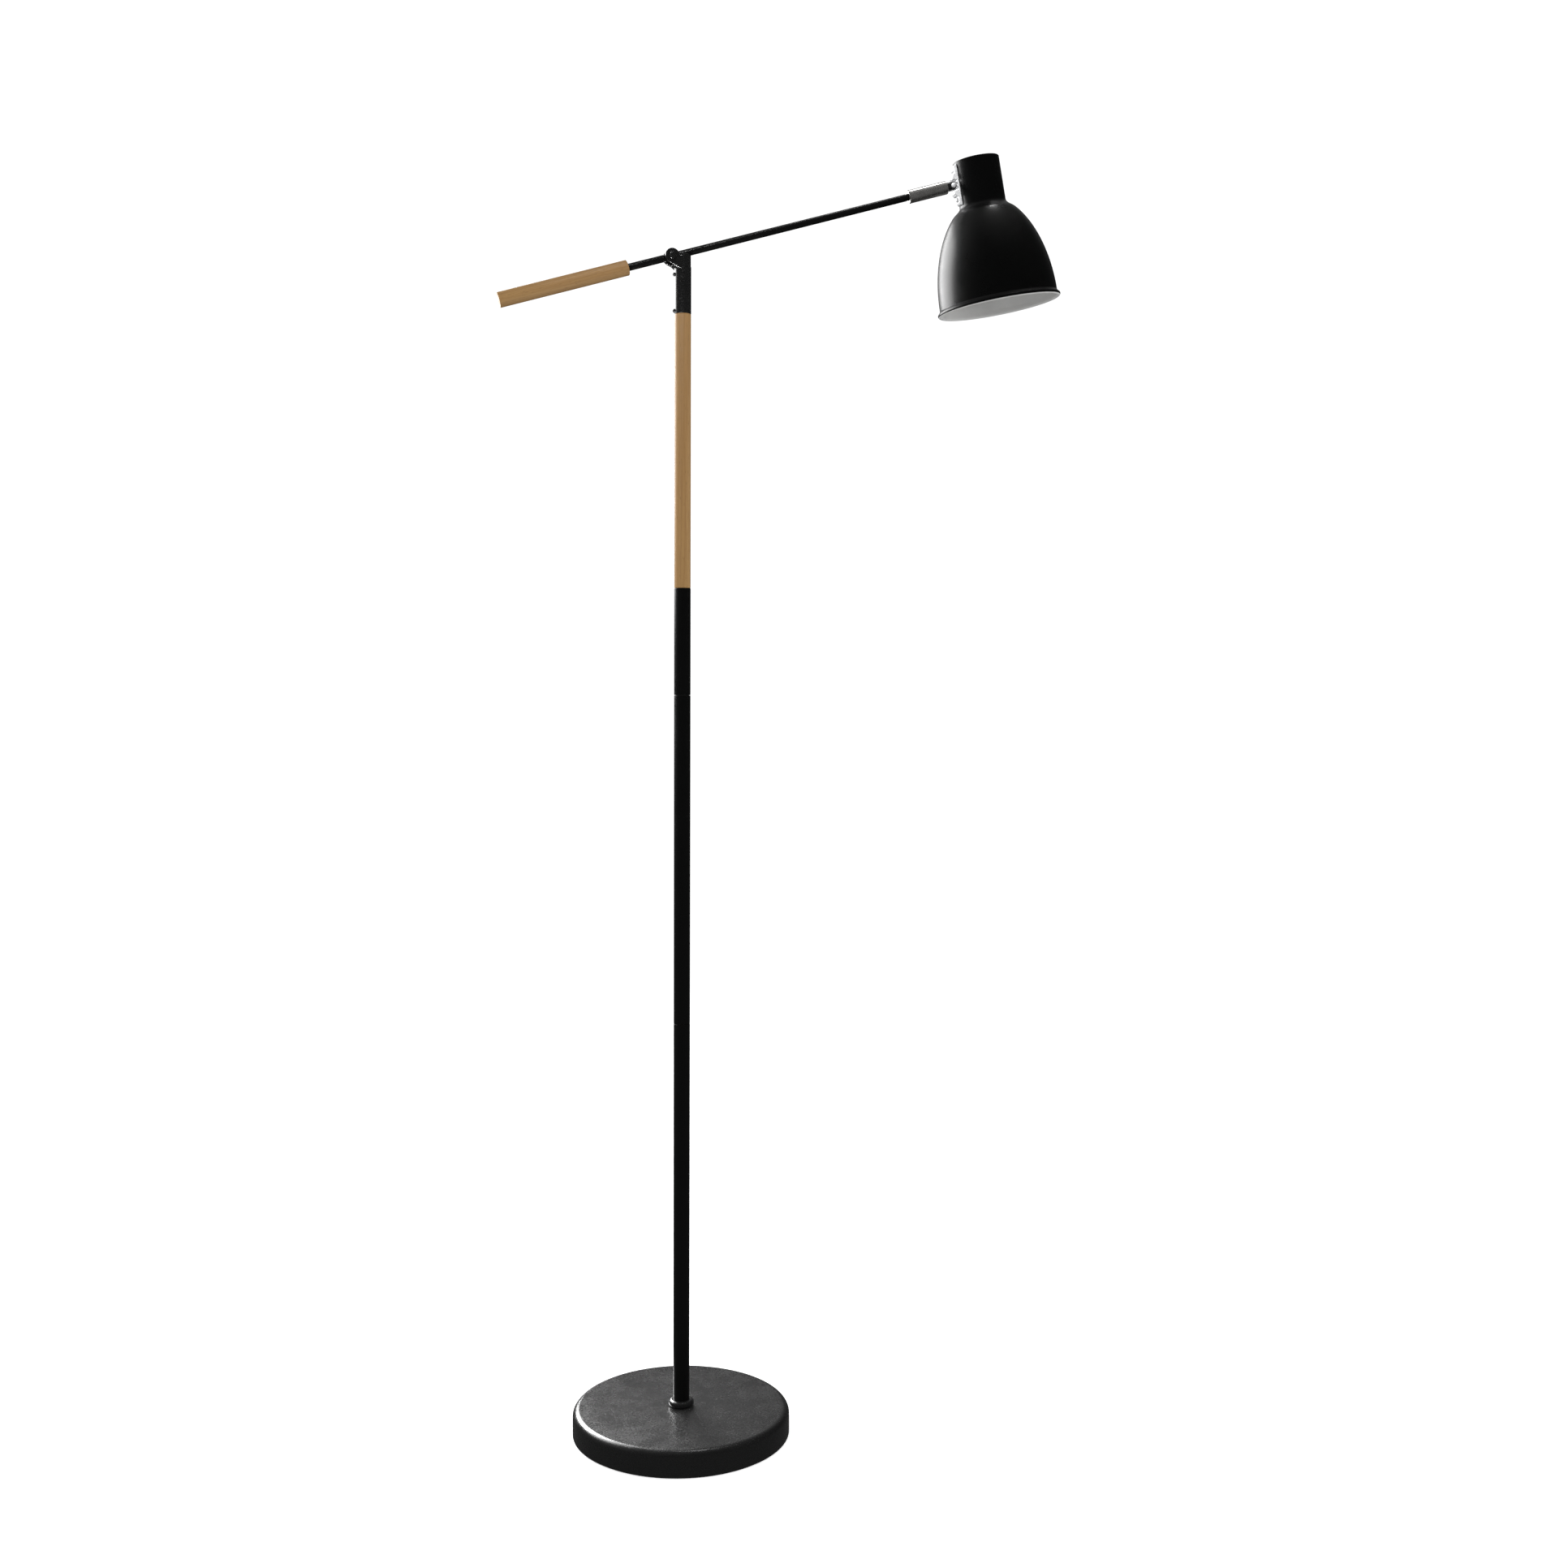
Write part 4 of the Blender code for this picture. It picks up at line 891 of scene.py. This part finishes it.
def make_stem():
    """The tongue in the fork and its shank through the neck's wall. Z points away from the neck."""
    shoulder = NECK_GAP - 1.8 * MM
    tip = NECK_GAP + 9.2 * MM
    tongue = moved(rod(5.2 * MM, -TONGUE_HALF, TONGUE_HALF, 72), turn=TO_FRONT)
    root = block((-4.6 * MM, -TONGUE_HALF, -shoulder), (4.6 * MM, TONGUE_HALF, 0))
    shank = rod(3 * MM, -tip, 0.5 * MM - shoulder)
    pin = moved(rod(KNUCKLE_HOLE, -PAST, PAST), turn=TO_FRONT)
    stem = combined(tongue, joined=[root, shank], cut=[pin])
    add("head_stem", cast(stem, 0.16 * MM, 3), "chrome", "head", BRIDGE)


BRIDGE_HALF_WIDTH = 5 * MM
BRIDGE_SCREW_OFFSET = 16.5 * MM
LOBE_SEAT = 3.2 * MM  # how far the screws' seats stand off the neck


def lobe_outline():
    """Upper half of the bridge's outline, in mm: (height off the neck, distance from the stem, rounding)."""
    return [
        (1.3, 5.6, 0.8),
        (6.4, 6.7, 1.2),
        (7.2, 8.8, 1.6),
        (5.6, 12.6, 1.2),
        (3.2, 13.3, 0.5),
        (3.2, 19.9, 0.5),
        (2.3, 22.2, 1.2),
        (0.2, 23.4, 0.4),
    ]


def make_bridge():
    """Two stepped lobes on a strap that follows the neck, each lobe with a screw in its flat."""
    upper = [(along * MM, height * MM - NECK_GAP, edge * MM) for height, along, edge in lobe_outline()]
    lower = [(-x, z, edge) for x, z, edge in reversed(upper)]
    sunk = -NECK_GAP - 1.5 * MM
    outline = [(upper[-1][0], sunk), (lower[0][0], sunk)] + lower + upper
    mesh = plate(rounded(outline, 10), BRIDGE_HALF_WIDTH)
    neck = rod(NECK_RADIUS + 0.12 * MM, -60 * MM, 60 * MM, 256)
    neck = moved(neck, (0, 0, -NECK_GAP - NECK_RADIUS), TO_SIDE)
    hole = rod(SHANK_HOLE, -30 * MM, 0)
    mesh = combined(mesh, cut=[neck, hole])
    add("bridge_plate", cast(mesh, 0.22 * MM, 5), "chrome", "head", BRIDGE)
    for name, side in (("upper", 1), ("lower", -1)):
        place = KNUCKLE + NECK_UP * BRIDGE_SCREW_OFFSET * side + NECK_OUT * (NECK_GAP - LOBE_SEAT)
        screw = domed_screw(2.9 * MM, 2.3 * MM, 1.4 * MM, 9 * MM)
        add(f"bridge_screw_{name}", screw, "chrome", "head", axes(place, -NECK_OUT))


BELL_RADIUS = 69 * MM
BELL_LENGTH = 120.6 * MM
BELL_BOTTOM = 163 * MM
NECK_DEPTH = 50 * MM
BELL_START = 62 * MM
SHADE_WALL = 1 * MM
BEAD_RADIUS = 2.4 * MM
BEAD_DEPTH = 167.6 * MM
RIM_RADIUS = 72.1 * MM
VENT_RADIUS = 4 * MM
BEAD_BLACK_STEPS = 14  # the bead is black round its outside, and white from underneath inwards


def bell_radius(depth):
    """Radius of the bell's outside, a quarter ellipse whose widest place is above the rim."""
    part = (BELL_BOTTOM - depth) / BELL_LENGTH
    return BELL_RADIUS * math.sqrt(1 - part * part)


def outer_wall():
    """(radius, depth) from the bell's shoulder under the neck down to the bead."""
    start = (bell_radius(BELL_START), BELL_START)
    slope = (bell_radius(BELL_START + MM) - bell_radius(BELL_START)) / MM
    pull = 4.5 * MM
    before = (start[0] - slope * pull, BELL_START - pull)
    wall = bezier((NECK_RADIUS, NECK_DEPTH), (NECK_RADIUS, NECK_DEPTH + 5.3 * MM), before, start, 14)
    rows = 44
    for row in range(1, rows + 1):
        turn = math.pi / 2 * row / rows
        depth = BELL_START + (BELL_BOTTOM - BELL_START) * math.sin(turn)
        wall.append((bell_radius(depth), depth))
    return wall


def inward(points, distance):
    """The outline moved to its inner side by a wall's thickness."""
    made = []
    for i, point in enumerate(points):
        before = Vector(points[max(i - 1, 0)])
        after = Vector(points[min(i + 1, len(points) - 1)])
        run = (after - before).normalized()
        made.append((point[0] - run.y * distance, point[1] + run.x * distance))
    return made


def neck_holes(screw_hole, inwards, outwards):
    """Cutters for the shank's hole and the bridge screws' holes, from inside the neck to outside it."""
    holes = []
    for side, radius in ((0, SHANK_HOLE), (1, screw_hole), (-1, screw_hole)):
        place = KNUCKLE + NECK_UP * BRIDGE_SCREW_OFFSET * side + NECK_OUT * NECK_GAP
        hole = rod(radius, -inwards, outwards)
        hole.transform(HEAD.inverted() @ axes(place, -NECK_OUT))
        holes.append(hole)
    return holes


def make_shade():
    lip = rounded([(VENT_RADIUS, 0), (NECK_RADIUS, 0, 1.2 * MM), (NECK_RADIUS, 20 * MM)], 10)
    lip[-1] = (NECK_RADIUS, NECK_DEPTH - 2 * MM)
    bead_centre = (RIM_RADIUS - BEAD_RADIUS, BEAD_DEPTH)
    outer = lip + outer_wall()
    bead = arc(bead_centre, BEAD_RADIUS, -68, 190, 36)
    inner = inward([(NECK_RADIUS, NECK_DEPTH - 2 * MM)] + outer_wall(), SHADE_WALL)[::-1]
    roof = rounded([inner[-1], (NECK_RADIUS - SHADE_WALL, SHADE_WALL, 1 * MM), (VENT_RADIUS, SHADE_WALL)], 8)
    loop = outer + bead + inner + roof[1:]
    last_black = len(outer) + BEAD_BLACK_STEPS
    last_white = len(loop) - 2
    outline = [(radius, -depth) for radius, depth in loop]
    mesh = turned(outline, 224, closed=True, painted=lambda i: int(last_black < i <= last_white))
    for name in ("shade_black", "white_inside"):  # the cut keeps the slots of a mesh that has its materials
        mesh.materials.append(LOOKS[name])
    mesh = combined(mesh, cut=neck_holes(SHADE_SCREW_HOLE, 8 * MM, 3 * MM))
    add("shade", mesh, "shade_black", "head", HEAD, lining="white_inside")


HOLDER_TOP = -49.9 * MM
HOLDER_MOUTH = -93 * MM
HOLDER_RADIUS = 18.5 * MM


def make_lampholder():
    """The screw lampholder: plain body, ribbed gripping ring, threaded shell, insert and centre contact."""
    inside = 16.4 * MM
    roof = HOLDER_TOP - 3 * MM
    corners = [
        (NIPPLE_HOLE, HOLDER_TOP, 0.3 * MM), (13 * MM, HOLDER_TOP, 1.5 * MM),
        (HOLDER_RADIUS, HOLDER_TOP - 8 * MM, 2 * MM), (HOLDER_RADIUS, HOLDER_MOUTH, 0.6 * MM),
        (inside, HOLDER_MOUTH, 0.4 * MM), (inside, HOLDER_TOP - 9.5 * MM, 1 * MM),
        (12 * MM, roof, 1 * MM), (NIPPLE_HOLE, roof),
    ]
    add("lampholder_body", turned(rounded(corners), 128, closed=True), "black_plastic", "head", HEAD)

    low = -89 * MM
    high = -83 * MM
    ring_radius = 21.5 * MM
    bore = HOLDER_RADIUS + GAP / 2
    edge = 0.9 * MM
    corners = [(bore, high), (ring_radius, high, edge), (ring_radius, low, edge), (bore, low)]
    ring = turned(rounded(corners, 6), 144, closed=True)
    ribs = 36
    rib_depth = 0.45 * MM
    for vertex in ring.vertices:
        radius = math.hypot(vertex.co.x, vertex.co.y)
        if radius > ring_radius - 1 * MM:
            angle = math.atan2(vertex.co.y, vertex.co.x)
            scale = (radius - rib_depth * (0.5 - 0.5 * math.cos(angle * ribs))) / radius
            vertex.co.x *= scale
            vertex.co.y *= scale
    add("lampholder_ring", ring, "black_plastic", "head", HEAD)

    add("lampholder_shell", thread_shell(), "brass", "head", HEAD)

    disc_radius = inside - GAP
    disc_top = -62 * MM
    disc_foot = -68 * MM
    edge = 0.8 * MM
    corners = [(0, disc_top), (disc_radius, disc_top, edge), (disc_radius, disc_foot, edge), (0, disc_foot)]
    add("lampholder_insulator", turned(rounded(corners), 96), "white_ceramic", "head", HEAD)

    top = disc_foot - GAP
    tip = top - 3.2 * MM
    base = 5 * MM
    corners = [
        (0, top), (base, top, 0.2 * MM), (base, top - 1 * MM, 0.4 * MM), (base / 2, tip, 1 * MM),
        (0, tip),
    ]
    add("centre_contact", turned(rounded(corners), 64), "brass", "head", HEAD)


def thread_shell():
    """The rolled brass thread of the lampholder: a thin sleeve whose radius follows a helix."""
    middle = 13.9 * MM
    wave = 0.28 * MM
    half_wall = 0.18 * MM
    pitch = 3.6 * MM
    low = -91 * MM
    high = -68.3 * MM
    rows = 96
    steps = 96
    fading_rows = 6  # the thread runs out over these at each end
    vertices = []
    for side in (1, -1):
        for row in range(rows + 1):
            height = low + (high - low) * row / rows
            fade = min(1, row / fading_rows, (rows - row) / fading_rows)
            for step in range(steps):
                angle = math.tau * step / steps
                swing = math.sin(math.tau * height / pitch - angle)
                radius = middle + side * half_wall + wave * fade * swing
                vertices.append((radius * math.cos(angle), radius * math.sin(angle), height))
    faces = []
    layer = (rows + 1) * steps
    for step in range(steps):
        following = (step + 1) % steps
        for row in range(rows):
            a = row * steps + step
            b = row * steps + following
            faces.append((a, b, b + steps, a + steps))
            faces.append((layer + a, layer + a + steps, layer + b + steps, layer + b))
        for row in (0, rows):
            a = row * steps + step
            b = row * steps + following
            faces.append((a, layer + a, layer + b, b))
    mesh = bpy.data.meshes.new("thread")
    mesh.from_pydata(vertices, [], faces)
    return finished(mesh, 50)


def make_holder_metal():
    """The folded bracket in the neck, with the threaded tube and nuts that hang the lampholder from it."""
    back = -24.9 * MM
    sheet = 1.6 * MM
    shelf = -48 * MM
    under = shelf - sheet
    end = 10 * MM
    top = -5 * MM
    corners = [
        (back, top), (back + sheet, top), (back + sheet, shelf, 1.4 * MM), (end, shelf),
        (end, under), (back, under, 3 * MM),
    ]
    mesh = plate(rounded(corners), 6 * MM)
    cutters = [rod(NIPPLE_HOLE, -60 * MM, -40 * MM)] + neck_holes(BRACKET_SCREW_HOLE, 10 * MM, 0)
    mesh = bevelled(combined(mesh, cut=cutters), 0.25 * MM, 2)
    add("holder_bracket", mesh, "steel", "head", HEAD)

    low = under - 11 * MM
    high = shelf + 6.5 * MM
    pipe = tube_outline(5 * MM, 3.4 * MM, low, high, 0.5 * MM)
    add("holder_nipple", turned(pipe, 64, closed=True), "steel", "head", HEAD)
    placed = HEAD @ Matrix.Translation((0, 0, shelf + GAP))
    add("holder_nut", hex_nut(14 * MM, NIPPLE_HOLE, 4 * MM), "steel", "head", placed)
    seat = NECK_GAP + NECK_RADIUS + back + sheet + GAP
    placed = axes(KNUCKLE + NECK_OUT * seat, NECK_OUT)
    add("stem_nut", hex_nut(10 * MM, SHANK_HOLE, 4 * MM), "steel", "head", placed)


INNER_NODES = {
    "base_weight": "cast_iron",
    "base_washer": "steel",
    "base_nut": "steel",
    "base_nipple": "steel",
    "lower_coupler": "steel",
    "upper_coupler": "steel",
    "foot_plug": "steel",
    "core_tube": "steel",
    "pivot_washer_front": "steel",
    "pivot_washer_rear": "steel",
    "counterweight_core": "steel",
    "swivel_screw": "steel",
}


def finish_inner_nodes():
    """The CAD pieces that stay as they are: they sit inside others, and get a finish of their own."""
    for node, look in INNER_NODES.items():
        piece = frame["nodes"][node]
        piece.data.materials.clear()
        piece.data.materials.append(LOOKS[look])


make_base()
make_pole()
make_top_fitting()
make_stand_screws()
make_arm()
make_swivel()
make_stem()
make_bridge()
make_shade()
make_lampholder()
make_holder_metal()
finish_inner_nodes()

# ---------- stage, light and camera

# How bright the room is to the camera, to matt surfaces, and in reflections.
SEEN_LEVEL = 1.1
LIT_FROM_ABOVE = 0.6
LIT_FROM_BELOW = 0.52
HORIZON_LEVEL = 0.08
WALL_LEVEL = 0.45
CEILING_LEVEL = 0.2
FRONT_LEVEL = 0.02
BELOW_LEVEL = 0.06
WALL_BRIGHTEST = (-0.5, 0.866, 0)
# Where a change of level starts and where it ends, as the cosine of the angle to an axis
WALL_SPREAD = (-0.15, 0.8)
WALL_RISE = (0.28, 0.55)
CEILING_RISE = (0.65, 0.97)
HORIZON_RISE = (-0.04, 0.05)
DAYLIGHT_RISE = (-0.2, 0.2)

CAMERA_PLACE = (-0.4175, -1.9638, 0.8718)
CAMERA_ANGLES = (-15.30, -3.42, 0.28)  # yaw, pitch and roll in degrees
FLOOR_REACH = 120.0


def make_floor():
    """A plain pale floor that reaches past the horizon. It glows a little, so that it stays even."""
    shape = bmesh.new()
    bmesh.ops.create_grid(shape, x_segments=1, y_segments=1, size=FLOOR_REACH)
    mesh = bpy.data.meshes.new("floor")
    shape.to_mesh(mesh)
    shape.free()
    floor = bpy.data.objects.new("floor", mesh)
    bpy.context.scene.collection.objects.link(floor)
    look = Look("floor", Specular_IOR_Level=0.0, Emission_Color=(1, 1, 1, 1), Emission_Strength=0.62)
    cloud = look.noise(1.5, 3.0)
    colour = look.blend(cloud, grey(0.84), grey(0.88))
    shine = look.spread(cloud, *NOISE, 0.85, 0.95)
    mesh.materials.append(look.finish(colour, shine, look.bump(cloud, 0.05, 1 * MM)))
    floor.visible_glossy = False
    floor.visible_diffuse = False


def make_world():
    """White studio walls as seen and as light, and a graded room for what the gloss mirrors.

    The mirrored room is bright behind the lamp, brightest on its left, and dim in front and below.
    """
    world = bpy.data.worlds.new("studio")
    bpy.context.scene.world = world
    world.use_nodes = True
    nodes = Nodes(world.node_tree)
    direction = nodes.node("ShaderNodeTexCoord", {}).outputs["Generated"]

    def along(axis):
        made = nodes.node("ShaderNodeVectorMath", {0: direction, 1: axis}, operation="DOT_PRODUCT")
        return made.outputs["Value"]

    def ramp(value, limits, low, high):
        return nodes.spread(value, *limits, low, high, "SMOOTHSTEP")

    def mixed(share, first, second):
        return nodes.node("ShaderNodeMix", {0: share, 2: first, 3: second}).outputs[0]

    height = along(UP)
    wall = ramp(height, WALL_RISE, HORIZON_LEVEL, WALL_LEVEL)
    walls = mixed(ramp(along(WALL_BRIGHTEST), WALL_SPREAD, 0, 1), FRONT_LEVEL, wall)
    room = mixed(ramp(height, CEILING_RISE, 0, 1), walls, CEILING_LEVEL)
    room = mixed(ramp(height, HORIZON_RISE, 0, 1), BELOW_LEVEL, room)
    lit = ramp(height, DAYLIGHT_RISE, LIT_FROM_BELOW, LIT_FROM_ABOVE)
    path = nodes.node("ShaderNodeLightPath", {}).outputs
    unseen = mixed(path["Is Glossy Ray"], lit, room)
    strength = mixed(path["Is Camera Ray"], unseen, SEEN_LEVEL)
    background = nodes.tree.nodes["Background"]
    background.inputs["Color"].default_value = (1, 1, 1, 1)
    nodes.tree.links.new(strength, background.inputs["Strength"])


def softbox(name, place, target, size, power, spread=180, in_gloss=True, on_matt=True):
    """A rectangular soft light that the camera doesn't see."""
    light = bpy.data.lights.new(name, "AREA")
    light.shape = "RECTANGLE"
    light.size = size[0]
    light.size_y = size[1]
    light.energy = power
    light.spread = math.radians(spread)
    lamp = bpy.data.objects.new(name, light)
    bpy.context.scene.collection.objects.link(lamp)
    lamp.location = place
    lamp.rotation_euler = (Vector(target) - Vector(place)).to_track_quat("-Z", "Y").to_euler()
    lamp.visible_camera = False
    lamp.visible_glossy = in_gloss
    lamp.visible_diffuse = on_matt


def narrow_light(name, target, offset, size, power, spread, **surfaces):
    """A small square light with a narrow beam, that stands off its target."""
    softbox(name, target + Vector(offset), target, (size, size), power, spread, **surfaces)


def make_lights():
    """A key light behind, weak fills in front, and narrow beams for gloss only or matt surfaces only."""
    softbox("key_behind_left", (-0.9, 1.5, 1.8), (0.2, 0, 1.2), (1.8, 1.3), 56)
    softbox("fill_front_left", (-2.2, -2.0, 1.8), (0, 0, 0.9), (2.0, 2.0), 28, in_gloss=False)
    narrow_light("glint_above", PIVOT, (-0.46, -0.86, 1.1), 0.2, 0.1, 7, on_matt=False)
    narrow_light("glint_below", PIVOT, (-0.3, -0.24, -0.8), 0.2, 0.3, 16, on_matt=False)
    sleeve = ARM @ Vector((0, 0, (SLEEVE_START + SLEEVE_END) / 2))
    narrow_light("metal_fill", sleeve, (-0.5, -0.5, 1.1), 0.3, 0.4, 14, in_gloss=False)
    softbox("base_sheen", (-0.22, 0.62, 0.42), (-0.03, -0.1, 0.03), (0.9, 0.2), 2.0, 30, on_matt=False)
    narrow_light("sleeve_top", sleeve, (0.1, 0.15, 0.9), 0.4, 0.08, 16, on_matt=False)
    softbox("fill_right", (2.4, -0.9, 1.6), (0, 0, 1.1), (1.2, 1.2), 20, in_gloss=False)


def make_camera():
    """The photograph's view: from the front, a little below the lamp's arm, and turned to the right."""
    camera = bpy.data.cameras.new("camera")
    camera.lens = 40.65
    camera.sensor_width = 36
    camera.clip_start = 0.05
    camera.clip_end = 500
    holder = bpy.data.objects.new("camera", camera)
    bpy.context.scene.collection.objects.link(holder)
    yaw, pitch, roll = (math.radians(angle) for angle in CAMERA_ANGLES)
    forward = Vector((-math.sin(yaw) * math.cos(pitch), math.cos(yaw) * math.cos(pitch), math.sin(pitch)))
    level = Vector((math.cos(yaw), math.sin(yaw), 0))
    upward = level.cross(forward)
    right = level * math.cos(roll) + upward * math.sin(roll)
    up = upward * math.cos(roll) - level * math.sin(roll)
    matrix = Matrix((right, up, -forward)).transposed().to_4x4()
    matrix.translation = CAMERA_PLACE
    holder.matrix_world = matrix
    bpy.context.scene.camera = holder


make_floor()
make_world()
make_lights()
make_camera()
bpy.context.scene.view_settings.view_transform = "Standard"
